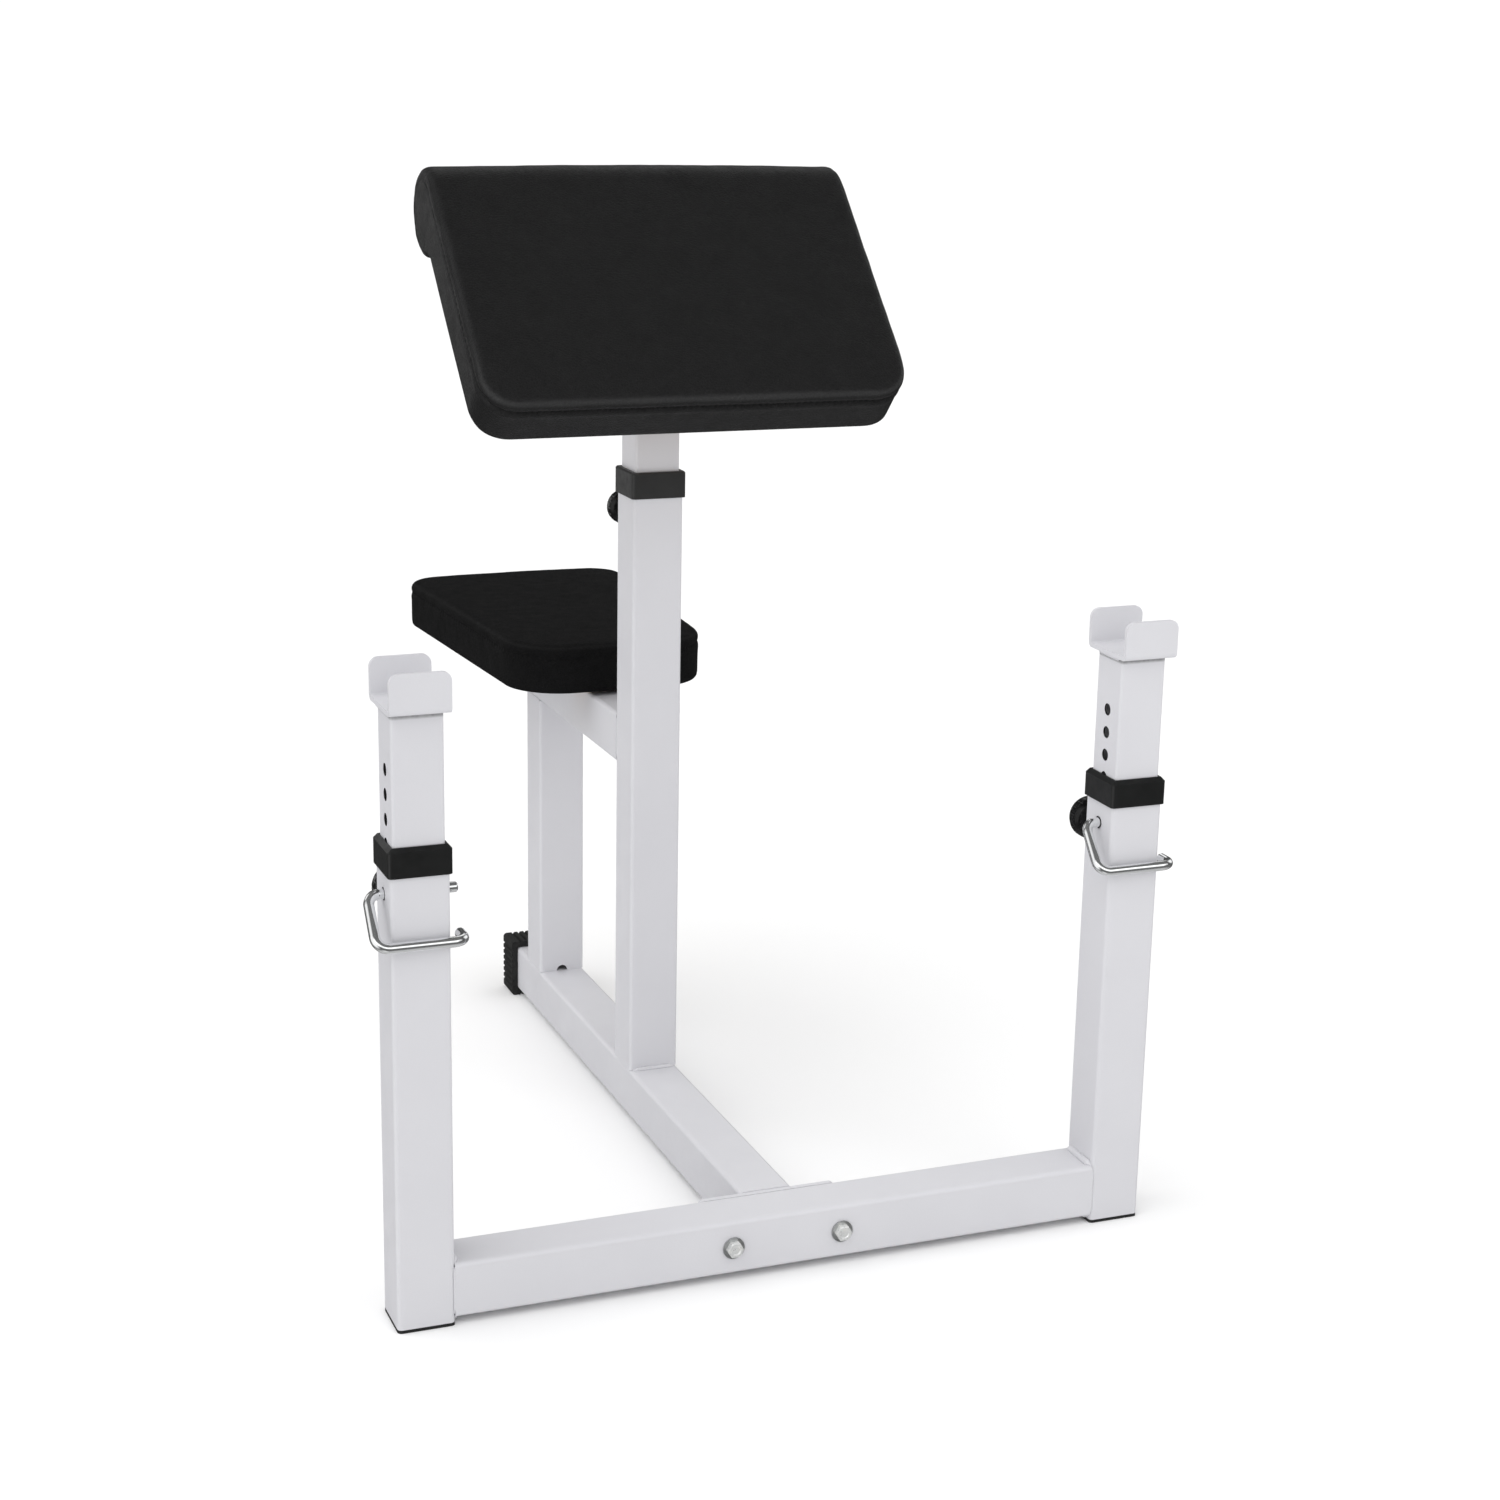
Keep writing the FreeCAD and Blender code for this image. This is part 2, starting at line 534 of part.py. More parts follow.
# ---------------------------------------------------------------------------
# Spring plunger on the rear face of the main post
# ---------------------------------------------------------------------------
post_rear = d.post_y + d.tube_w / 2
case = new_body("pop_pin_housing")
pad(case, circle(sketch_on(case, "XY_Plane"), d.pop_case_r), d.pop_case_len)
top = d.pop_case_len.value
chamfer(case, lambda e: e.Curve.TypeId == "Part::GeomCircle" and at(e, z=top), 1.5)
pocket(case, circle(sketch_on(case, "XY_Plane"), d.pop_case_bore), d.pop_case_len - d.pop_case_end, flip=True)
pocket(case, circle(sketch_on(case, "XY_Plane"), d.pop_stem_hole), both=True)
place(case, 0, post_rear, d.pop_z, ALONG_Y)

plunger = new_body("pop_pin_plunger")
sk = sketch_on(plunger, "XZ_Plane")
fa, fb = d.pop_flange_at, d.pop_flange_at + d.pop_flange_t
outline(sk, [(0, -d.pop_tip_in), (d.pop_tip_r - 1.5, -d.pop_tip_in), (d.pop_tip_r, -d.pop_tip_in + 2), (d.pop_tip_r, fa),
             (d.pop_flange_r, fa), (d.pop_flange_r, fb), (d.pop_stem_r, fb), (d.pop_stem_r, d.pop_stem_end),
             (0, d.pop_stem_end)])
turned = plunger.newObject("PartDesign::Revolution", "Turned")
turned.Profile = sk
turned.ReferenceAxis = (sk, ["V_Axis"])
turned.Angle = 360
doc.recompute()
place(plunger, 0, post_rear, d.pop_z, ALONG_Y)

grip = knob("pop_pin_knob", d.pop_knob_r, d.pop_knob_h, d.pop_stem_hole, d.pop_stem_end - d.pop_knob_at, 18)
place(grip, 0, post_rear + d.pop_knob_at, d.pop_z, ALONG_Y)

# compression spring between the plunger's flange and the housing's end wall
low = sheet.pop_flange_at + sheet.pop_flange_t + 0.15 + sheet.spring_wire
high = sheet.pop_case_len - sheet.pop_case_end - 0.15 - sheet.spring_wire
helix = Part.makeHelix((high - low) / sheet.spring_turns, high - low, sheet.spring_r)
helix.translate(V(0, 0, low))
wire = Part.Wire(helix.Edges)
e0 = wire.Edges[0]
p0 = e0.valueAt(e0.FirstParameter)
ring = Part.Wire([Part.Circle(p0, e0.tangentAt(e0.FirstParameter), sheet.spring_wire).toShape()])
coil = wire.makePipeShell([ring], True, True)
spring = node(doc.addObject("Part::Feature", "Spring"), "pop_pin_spring")
spring.Shape = coil
spring.Placement = Placement(V(0, sheet.post_y + sheet.tube_w / 2, sheet.pop_z), ALONG_Y)
print("spring: wire %.1f mm, volume %.1f, section times length %.1f"
      % (wire.Length, coil.Volume, math.pi * sheet.spring_wire ** 2 * wire.Length))

# ---------------------------------------------------------------------------
# Pad mast: telescoping tube with a mitred top, indexed on its rear wall
# ---------------------------------------------------------------------------
mitre = d.pad_z - d.mount_t * math.sqrt(2) - d.mast_low      # height of the mitre on the mast's axis
mast = square_tube("mast_tube", d.slide_w, d.slide_w, d.slide_t, d.slide_r, mitre + d.slide_w / 2 + 2)
hole = pocket(mast, circle(sketch_on(mast, "XZ_Plane"), d.pop_index_r, 0, d.pop_z - 2 * d.pop_pitch - d.mast_low))
row_of(mast, hole, "Z_Axis", 6 * d.pop_pitch, 7)
reach = d.slide_w / 2 + 6
pocket(mast, outline(sketch_on(mast, "YZ_Plane"), [(-reach, mitre - reach), (reach, mitre + reach),
                                                   (reach, mitre + reach + 40), (-reach, mitre + reach + 40)]), both=True)
place(mast, 0, d.post_y, d.mast_low)

glide = tube_plug("mast_glide", d.glide_w, d.glide_t, d.glide_in, d.glide_len, 34.0, 3.0, 2.0)
place(glide, 0, d.post_y, d.mast_low - d.glide_t)

# steel plate welded across the mitre
mount = new_body("pad_mount_plate")
pad(mount, rectangle(sketch_on(mount, "XY_Plane"), 2 * d.mount_half, d.mount_low + d.mount_high, 0,
                     (d.mount_high - d.mount_low) / 2), d.mount_t, down=True)
fillet(mount, lambda e: runs_along(e, "z"), 10)
sk = sketch_on(mount, "XY_Plane")
for sx in (-1, 1):
    for sy in (-d.mount_bolt_low, d.mount_bolt_high):
        circle(sk, d.small_hole_r, sx * d.mount_bolt_x, sy)
pocket(mount, sk, both=True)
place(mount, 0, d.post_y, d.pad_z, SLOPE)

# plywood board with threaded inserts, let into the back of the cushion
board = new_body("pad_board")
pad(board, rectangle(sketch_on(board, "XY_Plane"), 2 * d.pad_board_half, d.pad_board_low + d.pad_board_high, 0,
                     (d.pad_board_high - d.pad_board_low) / 2), d.pad_board_t)
low_edge = d.pad_board_low.value
fillet(board, lambda e: runs_along(e, "z") and at(e, y=low_edge), d.pad_corner - 11)
sk = sketch_on(board, "XY_Plane")
for sx in (-1, 1):
    for sy in (-d.mount_bolt_low, d.mount_bolt_high):
        circle(sk, d.small_r, sx * d.mount_bolt_x, sy)
pocket(board, sk, 13.0, flip=True)
place(board, 0, d.post_y, d.pad_z, SLOPE)

# cushion: flat plank that ends in a thick roll along its upper edge
plank = doc.addObject("Part::Box", "Plank")
bind(plank, Length=2 * d.pad_half, Width=d.pad_low + d.roll_s, Height=d.pad_thick)
place(plank, -d.pad_half, -d.pad_low, 0)
roll = doc.addObject("Part::Cylinder", "Roll")
bind(roll, Radius=d.roll_r, Height=2 * d.pad_half)
place(roll, -d.pad_half, d.roll_s, d.roll_n, ALONG_X)
recess = doc.addObject("Part::Box", "Recess")
bind(recess, Length=2 * d.pad_board_half, Width=d.pad_board_low + d.pad_board_high, Height=d.pad_board_t)
place(recess, -d.pad_board_half, -d.pad_board_low, 0)
doc.recompute()


def rounded(base, test, radius, label):
    """Part fillet of the edges that pass the test."""
    f = doc.addObject("Part::Fillet", label)
    f.Base = base
    f.Edges = [(i, radius, radius) for i, e in enumerate(base.Shape.Edges, 1) if test(e)]
    doc.recompute()
    return f


def lower_corner(e, low):
    return runs_along(e, "z") and all(abs(p.Y + low) < 1e-3 for p in e.Vertexes)


def front_rim(e):
    """Edge of the plank's face, or of a roll's end."""
    if e.Curve.TypeId == "Part::GeomCircle" and abs(e.Curve.Radius - VALUES["roll_r"]) < 1e-3:
        return True
    if not all(abs(p.Z - VALUES["pad_thick"]) < 1e-3 for p in e.Vertexes):
        return False
    return not all(abs(p.Y - VALUES["roll_s"]) < 1e-3 for p in e.Vertexes)


plank = rounded(plank, lambda e: lower_corner(e, VALUES["pad_low"]), VALUES["pad_corner"], "RoundedPlank")
recess = rounded(recess, lambda e: lower_corner(e, VALUES["pad_board_low"]), VALUES["pad_corner"] - 11, "RoundedRecess")
whole = doc.addObject("Part::Fuse", "PlankAndRoll")
whole.Base, whole.Tool = plank, roll
whole.Refine = True
doc.recompute()
whole = rounded(whole, front_rim, VALUES["pad_edge"], "SoftEdges")
cushion = doc.addObject("Part::Cut", "PadCushion")
cushion.Base, cushion.Tool = whole, recess
place(cushion, 0, d.post_y, d.pad_z, SLOPE)
node(cushion, "pad_cushion")


# ---------------------------------------------------------------------------
# Seat: steel plate, plywood board and upholstered cushion
# ---------------------------------------------------------------------------
seat_low = d.carrier_low + d.tube_w
seat_plate = new_body("seat_mount_plate")
pad(seat_plate, rectangle(sketch_on(seat_plate, "XY_Plane"), 2 * d.seat_plate_x, 2 * d.seat_plate_half), d.seat_plate_t)
fillet(seat_plate, lambda e: runs_along(e, "z"), 12)
sk = sketch_on(seat_plate, "XY_Plane")
for sx in (-1, 1):
    for sy in (-1, 1):
        circle(sk, d.small_hole_r, sx * d.seat_bolt_x, sy * d.seat_bolt_y)
pocket(seat_plate, sk, both=True)
place(seat_plate, 0, d.seat_plate_y, seat_low)

seat_z = seat_low + d.seat_plate_t


def seat_outline(sk, inset):
    i = size(inset)
    return outline(sk, [(-d.seat_front_half + i, d.seat_front + i), (d.seat_front_half - i, d.seat_front + i),
                        (d.seat_rear_half - i, d.seat_rear - i), (-d.seat_rear_half + i, d.seat_rear - i)])


def seat_corners(body, inset):
    front = VALUES["seat_front"] + inset
    fillet(body, lambda e: runs_along(e, "z") and at(e, y=front), d.seat_round - inset)
    rear = VALUES["seat_rear"] - inset
    fillet(body, lambda e: runs_along(e, "z") and at(e, y=rear), d.seat_round_rear - inset)


seat_board = new_body("seat_board")
pad(seat_board, seat_outline(sketch_on(seat_board, "XY_Plane"), d.seat_wrap), d.seat_board_t)
seat_corners(seat_board, VALUES["seat_wrap"])
sk = sketch_on(seat_board, "XY_Plane")
for sx in (-1, 1):
    for sy in (-1, 1):
        circle(sk, d.small_r, sx * d.seat_bolt_x, d.seat_plate_y + sy * d.seat_bolt_y)
pocket(seat_board, sk, both=True)
place(seat_board, 0, 0, seat_z)

seat = doc.addObject("PartDesign::Body", "SeatBlock")
pad(seat, seat_outline(sketch_on(seat, "XY_Plane"), 0.0), d.seat_thick)
seat_corners(seat, 0.0)
top = VALUES["seat_thick"]
fillet(seat, lambda e: at(e, z=top), d.seat_edge)
# the recess under it has the board's own outline
hollow = doc.addObject("PartDesign::Body", "SeatRecess")
pad(hollow, seat_outline(sketch_on(hollow, "XY_Plane"), d.seat_wrap), d.seat_board_t)
seat_corners(hollow, VALUES["seat_wrap"])
seat_cushion = doc.addObject("Part::Cut", "SeatCushion")
seat_cushion.Base, seat_cushion.Tool = seat, hollow
place(seat_cushion, 0, 0, seat_z)
node(seat_cushion, "seat_cushion")


# ---------------------------------------------------------------------------
# Fasteners; equal ones share a node
# ---------------------------------------------------------------------------
def hex_head(flat, height, low):
    """Hexagon from z = low upwards, its top corners bevelled."""
    prism = doc.addObject("Part::Prism", "Hexagon")
    prism.Polygon = 6
    bind(prism, Circumradius=size(flat) / math.sqrt(3), Height=height)
    place(prism, 0, 0, low)
    bevel = doc.addObject("Part::Cone", "Bevel")
    r, h = size(flat) * 0.49, size(height)
    bind(bevel, Radius1=r + h * 1.9, Radius2=r, Height=h)
    place(bevel, 0, 0, low)
    head = doc.addObject("Part::Common", "HexHead")
    head.Base, head.Tool = prism, bevel
    return head


def shank(radius, length, low=0):
    rod = doc.addObject("Part::Cylinder", "Shank")
    bind(rod, Radius=radius, Height=length)
    place(rod, 0, 0, low)
    return rod


def bolt(radius, flat, head_h, length, x, y, z, turn):
    """Bolt with its dished head above local z = 0 and its shank below."""
    dish = doc.addObject("Part::Cone", "Dish")
    bind(dish, Radius1=size(flat) * 0.28, Radius2=size(flat) * 0.42, Height=1.4)
    place(dish, 0, 0, size(head_h) - 0.7)
    head = doc.addObject("Part::Cut", "DishedHead")
    head.Base, head.Tool = hex_head(flat, head_h, 0), dish
    one = doc.addObject("Part::Fuse", "Bolt")
    one.Base = head
    one.Tool = shank(radius, length, -size(length))
    place(one, x, y, z, turn)
    return one


def ring_part(outer, inner, height, x, y, z, turn):
    one = doc.addObject("Part::Cut", "Ring")
    one.Base = shank(outer, height)
    one.Tool = shank(inner, size(height) + 2, -1)
    place(one, x, y, z, turn)
    return one


def group(label, pieces):
    g = doc.addObject("Part::Compound", "Group")
    g.Links = pieces
    return node(g, label)


FORWARD = Rotation(V(1, 0, 0), 90)     # local Z points along -Y
beam_front = d.up_y - d.beam_d / 2
washer_t = 1.6
group("flange_bolts", [bolt(d.bolt_r, d.bolt_flat, d.bolt_head, d.beam_d + d.plate_t + 2 * washer_t + 12, s * d.bolt_x,
                            beam_front - washer_t, d.bolt_z, FORWARD) for s in (-1, 1)])
group("flange_washers", [ring_part(d.washer_r, d.bolt_hole_r, washer_t, s * d.bolt_x, y, d.bolt_z, FORWARD)
                         for s in (-1, 1) for y in (beam_front, base_y + washer_t)])
nuts = []
for s in (-1, 1):
    nut = doc.addObject("Part::Cut", "Nut")
    nut.Base = hex_head(d.bolt_flat, 6.5, 0)
    nut.Tool = shank(d.bolt_r, 10, -1)
    place(nut, s * d.bolt_x, base_y + washer_t, d.bolt_z, ALONG_Y)
    nuts.append(nut)
group("flange_nuts", nuts)

DOWN = Rotation(V(1, 0, 0), 180)
group("seat_bolts", [bolt(d.small_r, d.small_flat, d.small_head, d.seat_plate_t + 11, sx * d.seat_bolt_x,
                          d.seat_plate_y + sy * d.seat_bolt_y, seat_low, DOWN) for sx in (-1, 1) for sy in (-1, 1)])

# the pad's bolts enter square to the sloping plate, from behind
back = SLOPE.multiply(DOWN)
slope = math.sqrt(0.5)
pad_bolts = []
for sx in (-1, 1):
    for s in (-d.mount_bolt_low, d.mount_bolt_high):
        pad_bolts.append(bolt(d.small_r, d.small_flat, d.small_head, d.mount_t + 12, sx * d.mount_bolt_x,
                              d.post_y + s * slope + d.mount_t * slope, d.pad_z + s * slope - d.mount_t * slope, back))
group("pad_bolts", pad_bolts)

# ---------------------------------------------------------------------------
# Check every object, then write one file per sub-part
# ---------------------------------------------------------------------------
doc.recompute()
bad = [o.Name for o in doc.Objects if any(s in ("Invalid", "Error") for s in o.State)]
if bad:
    raise RuntimeError("failed objects: %s" % bad)
for part in NODES:
    if part.Shape.isNull() or not part.Shape.isValid() or part.Shape.Volume <= 0 or not part.Shape.Solids:
        raise RuntimeError("bad shape: %s" % part.Label)

os.makedirs("parts", exist_ok=True)
box = FreeCAD.BoundBox()
for part in NODES:
    part.Shape.exportStep("parts/%s.step" % part.Label)
    box.add(part.Shape.BoundBox)
print("%d nodes, box %.2f..%.2f  %.2f..%.2f  %.2f..%.2f mm"
      % (len(NODES), box.XMin, box.XMax, box.YMin, box.YMax, box.ZMin, box.ZMax))
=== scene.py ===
import math

import bmesh
import bpy
import numpy as np
from mathutils import Matrix, Vector, noise


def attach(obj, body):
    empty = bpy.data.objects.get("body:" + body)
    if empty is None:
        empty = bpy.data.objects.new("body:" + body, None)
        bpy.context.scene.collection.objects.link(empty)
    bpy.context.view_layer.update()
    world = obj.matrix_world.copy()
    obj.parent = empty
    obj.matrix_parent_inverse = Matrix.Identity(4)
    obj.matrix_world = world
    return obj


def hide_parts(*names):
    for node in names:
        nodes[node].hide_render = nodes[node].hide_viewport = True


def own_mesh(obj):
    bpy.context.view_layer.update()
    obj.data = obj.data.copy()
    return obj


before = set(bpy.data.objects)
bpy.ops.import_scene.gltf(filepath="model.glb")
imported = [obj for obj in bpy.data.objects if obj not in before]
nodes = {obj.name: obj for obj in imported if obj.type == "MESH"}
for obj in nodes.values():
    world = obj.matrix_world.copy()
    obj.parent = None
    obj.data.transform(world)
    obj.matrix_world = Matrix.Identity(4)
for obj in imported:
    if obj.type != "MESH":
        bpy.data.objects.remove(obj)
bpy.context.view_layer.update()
scene = bpy.context.scene


# ---------------------------------------------------------------------------
# Materials
# ---------------------------------------------------------------------------
class Shader:
    """A Principled material with short calls for its nodes."""

    def __init__(self, name, **sockets):
        self.material = bpy.data.materials.new(name)
        self.material.use_nodes = True
        self.tree = self.material.node_tree
        self.bsdf = self.tree.nodes["Principled BSDF"]
        for key, value in sockets.items():
            self.bsdf.inputs[key.replace("_", " ")].default_value = value
        self._place = None

    def add(self, kind, **values):
        node = self.tree.nodes.new(kind)
        for key, value in values.items():
            if key in node.inputs:
                node.inputs[key].default_value = value
            else:
                setattr(node, key, value)
        return node

    def link(self, a, b):
        self.tree.links.new(a, b)

    @property
    def place(self):
        if self._place is None:
            self._place = self.add("ShaderNodeTexCoord").outputs["Object"]
        return self._place

    def stretched(self, scale):
        m = self.add("ShaderNodeMapping")
        m.inputs["Scale"].default_value = scale
        self.link(self.place, m.inputs["Vector"])
        return m.outputs["Vector"]

    def noise(self, scale, detail=3.0, rough=0.5, where=None, distortion=0.0):
        n = self.add("ShaderNodeTexNoise", Scale=scale, Detail=detail, Roughness=rough, Distortion=distortion)
        self.link(where or self.place, n.inputs["Vector"])
        return n.outputs["Fac"]

    def cells(self, scale, feature="F1", where=None, rand=1.0):
        n = self.add("ShaderNodeTexVoronoi", feature=feature)
        n.inputs["Scale"].default_value = scale
        n.inputs["Randomness"].default_value = rand
        self.link(where or self.place, n.inputs["Vector"])
        return n.outputs["Distance"]

    def wave(self, scale, distortion=0.0, detail=2.0, where=None, direction="X"):
        n = self.add("ShaderNodeTexWave", bands_direction=direction)
        n.inputs["Scale"].default_value = scale
        n.inputs["Distortion"].default_value = distortion
        n.inputs["Detail"].default_value = detail
        self.link(where or self.place, n.inputs["Vector"])
        return n.outputs["Fac"]

    def ramp(self, fac, stops):
        r = self.add("ShaderNodeValToRGB")
        e = r.color_ramp.elements
        while len(e) < len(stops):
            e.new(0.5)
        for item, (pos, colour) in zip(e, stops):
            item.position = pos
            item.color = (*colour, 1.0) if len(colour) == 3 else colour
        self.link(fac, r.inputs["Fac"])
        return r.outputs["Color"]

    def span(self, fac, low, high, a=0.0, b=1.0):
        m = self.add("ShaderNodeMapRange")
        m.inputs["From Min"].default_value = a
        m.inputs["From Max"].default_value = b
        m.inputs["To Min"].default_value = low
        m.inputs["To Max"].default_value = high
        self.link(fac, m.inputs["Value"])
        return m.outputs["Result"]

    def sum(self, a, b, weight=1.0):
        m = self.add("ShaderNodeMath", operation="MULTIPLY_ADD")
        self.link(b, m.inputs[0])
        m.inputs[1].default_value = weight
        self.link(a, m.inputs[2])
        return m.outputs["Value"]

    def colour(self, output):
        self.link(output, self.bsdf.inputs["Base Color"])

    def rough(self, output):
        self.link(output, self.bsdf.inputs["Roughness"])

    def bump(self, height, strength, distance):
        b = self.add("ShaderNodeBump")
        b.inputs["Strength"].default_value = strength
        b.inputs["Distance"].default_value = distance
        self.link(height, b.inputs["Height"])
        self.link(b.outputs["Normal"], self.bsdf.inputs["Normal"])


def powder_coat(name="powder_coat_white", bore=None, shadow_band=None):
    s = Shader(name, Specular_IOR_Level=0.45)
    # cured powder: a faint cloudiness, and the shallow dimples of its flow
    paint = s.ramp(s.noise(9.0, 4.0), [(0.30, (0.628, 0.626, 0.655)), (0.70, (0.652, 0.650, 0.678))])
    if bore:
        # the powder doesn't reach inside a tube, which keeps its mill scale; the colour there is also much darker than
        # the scale itself, as painted shade inside the tube
        x, y, half = bore
        split = s.add("ShaderNodeSeparateXYZ")
        s.link(s.place, split.inputs["Vector"])
        far = []
        for axis, middle in (("X", x), ("Y", y)):
            away = s.add("ShaderNodeMath", operation="SUBTRACT")
            s.link(split.outputs[axis], away.inputs[0])
            away.inputs[1].default_value = middle
            size = s.add("ShaderNodeMath", operation="ABSOLUTE")
            s.link(away.outputs["Value"], size.inputs[0])
            far.append(size.outputs["Value"])
        wall = s.add("ShaderNodeMath", operation="MAXIMUM")
        near = s.add("ShaderNodeMath", operation="MINIMUM")
        for k in (0, 1):
            s.link(far[k], wall.inputs[k])
            s.link(far[k], near.inputs[k])
        # nor into the holes along the middle of its walls, which get the same dark colour as painted shade in the holes
        hole = s.add("ShaderNodeMath", operation="LESS_THAN")
        s.link(near.outputs["Value"], hole.inputs[0])
        hole.inputs[1].default_value = 0.0068
        depth = s.sum(wall.outputs["Value"], hole.outputs["Value"], -0.0014)
        # mill scale darkened to near black: partly the steel's own colour, partly painted shade
        scale = s.ramp(s.noise(80.0, 5.0, 0.6), [(0.35, (0.006, 0.0058, 0.0055)), (0.70, (0.017, 0.015, 0.0135))])
        mix = s.add("ShaderNodeMix", data_type="RGBA")
        s.link(s.span(depth, 0.0, 1.0, half, half + 0.0003), mix.inputs["Factor"])
        s.link(scale, mix.inputs["A"])
        s.link(paint, mix.inputs["B"])
        paint = mix.outputs["Result"]
    if shadow_band:
        # painted shadow: a dark grey band along the top of the tube, just under the cradle's overhanging plate, where
        # its shadow line falls
        split = s.add("ShaderNodeSeparateXYZ")
        s.link(s.place, split.inputs["Vector"])
        painted_shadow = s.ramp(s.noise(300.0, 3.0), [(0.3, (0.26, 0.26, 0.265)), (0.7, (0.36, 0.36, 0.37))])
        mix = s.add("ShaderNodeMix", data_type="RGBA")
        s.link(s.span(split.outputs["Z"], 0.0, 1.0, *shadow_band), mix.inputs["Factor"])
        s.link(paint, mix.inputs["A"])
        s.link(painted_shadow, mix.inputs["B"])
        paint = mix.outputs["Result"]
    s.colour(paint)
    s.rough(s.span(s.noise(55.0, 3.0), 0.34, 0.46, 0.3, 0.7))
    s.bump(s.sum(s.noise(620.0, 2.0), s.noise(160.0, 1.0), 0.6), 0.10, 0.0006)
    return s.material


def vinyl(name, light, dark, stretch_highlight, grain, specular, rough):
    s = Shader(name, Specular_IOR_Level=specular)
    # pressed leather grain: small rounded pebbles parted by fine creases, broken up by a slower swell
    pebbles = s.cells(grain, "SMOOTH_F1")
    creases = s.cells(grain * 0.62, "DISTANCE_TO_EDGE")
    swell = s.noise(38.0, 3.0)
    cover = s.ramp(s.sum(s.noise(grain * 0.9, 2.0), swell, 0.5), [(0.45, dark), (0.95, light)])
    # paler where it is drawn tight over an edge, and lighter still there as a painted highlight along the edge
    edge = s.add("ShaderNodeAttribute")
    edge.attribute_name = "stretch_highlight"
    pale_highlight = s.ramp(s.noise(grain * 0.9, 2.0), [(0.30, tuple(c * 0.7 for c in stretch_highlight)), (0.70, stretch_highlight)])
    mix = s.add("ShaderNodeMix", data_type="RGBA")
    s.link(edge.outputs["Fac"], mix.inputs["Factor"])
    s.link(cover, mix.inputs["A"])
    s.link(pale_highlight, mix.inputs["B"])
    s.colour(mix.outputs["Result"])
    s.rough(s.span(s.sum(s.noise(70.0, 4.0), pebbles, 0.25), rough - 0.08, rough + 0.08, 0.25, 0.9))
    height = s.sum(s.sum(s.span(pebbles, 1.0, 0.0, 0.0, 0.8), s.span(creases, 0.0, 1.0, 0.0, 0.12), 0.7), swell, 0.35)
    s.bump(height, 0.55, 0.0007)
    return s.material


def moulded(name, light, dark, rough, spark, specular=0.5):
    s = Shader(name, Specular_IOR_Level=specular)
    # spark-eroded mould texture, with slight flow marks
    s.colour(s.ramp(s.noise(45.0, 5.0), [(0.3, dark), (0.7, light)]))
    s.rough(s.span(s.noise(130.0, 3.0), rough - 0.05, rough + 0.08, 0.3, 0.7))
    s.bump(s.sum(s.noise(spark, 2.0), s.noise(240.0, 1.0), 0.3), 0.16, 0.0005)
    return s.material


def rubber():
    s = Shader("foot_rubber", Specular_IOR_Level=0.35)
    dust = s.noise(60.0, 6.0, 0.6)
    s.colour(s.ramp(dust, [(0.35, (0.010, 0.010, 0.010)), (0.72, (0.025, 0.025, 0.024))]))
    s.rough(s.span(dust, 0.66, 0.86, 0.3, 0.7))
    s.bump(s.noise(900.0, 3.0), 0.22, 0.0005)
    return s.material


def chrome():
    s = Shader("chrome_plate", Metallic=0.93)
    s.colour(s.ramp(s.noise(30.0, 3.0), [(0.3, (0.82, 0.83, 0.84)), (0.7, (0.88, 0.89, 0.89))]))
    s.rough(s.span(s.noise(90.0, 4.0), 0.035, 0.085, 0.3, 0.75))
    s.bump(s.noise(420.0, 2.0), 0.03, 0.0004)
    return s.material


def zinc(name, metal, tones):
    s = Shader(name, Metallic=metal)
    s.colour(s.ramp(s.noise(140.0, 4.0, 0.6), list(zip((0.28, 0.55, 0.78), tones))))
    s.rough(s.span(s.noise(260.0, 3.0), 0.24, 0.42, 0.3, 0.7))
    s.bump(s.noise(1100.0, 3.0), 0.14, 0.0004)
    return s.material


def plywood():
    s = Shader("plywood_board", Specular_IOR_Level=0.3)
    # long grain on the faces, and veneers across the thickness
    grain = s.wave(9.0, 9.0, 3.0, s.stretched((1.0, 0.16, 1.0)))
    fibre = s.noise(150.0, 5.0, 0.65, s.stretched((1.0, 0.05, 1.0)))
    s.colour(s.ramp(s.sum(fibre, grain, 0.35), [(0.35, (0.30, 0.19, 0.10)), (0.62, (0.48, 0.34, 0.20)), (0.95, (0.58, 0.44, 0.28))]))
    s.rough(s.span(fibre, 0.62, 0.82, 0.3, 0.7))
    s.bump(fibre, 0.25, 0.0008)
    return s.material


WHITE = powder_coat()
LEFT_UPRIGHT = powder_coat("powder_coat_left_upright", (-0.330, -0.403, 0.0232))
RIGHT_UPRIGHT = powder_coat("powder_coat_right_upright", (0.330, -0.403, 0.0232))
# the rest tubes get a painted shadow band along their tops, under their cradles
LEFT_REST = powder_coat("powder_coat_left_rest", (-0.330, -0.403, 0.0202), (0.5346, 0.5368))
RIGHT_REST = powder_coat("powder_coat_right_rest", (0.330, -0.403, 0.0202), (0.5346, 0.5368))
MAST = powder_coat("powder_coat_mast", (0.0, -0.042, 0.0202))
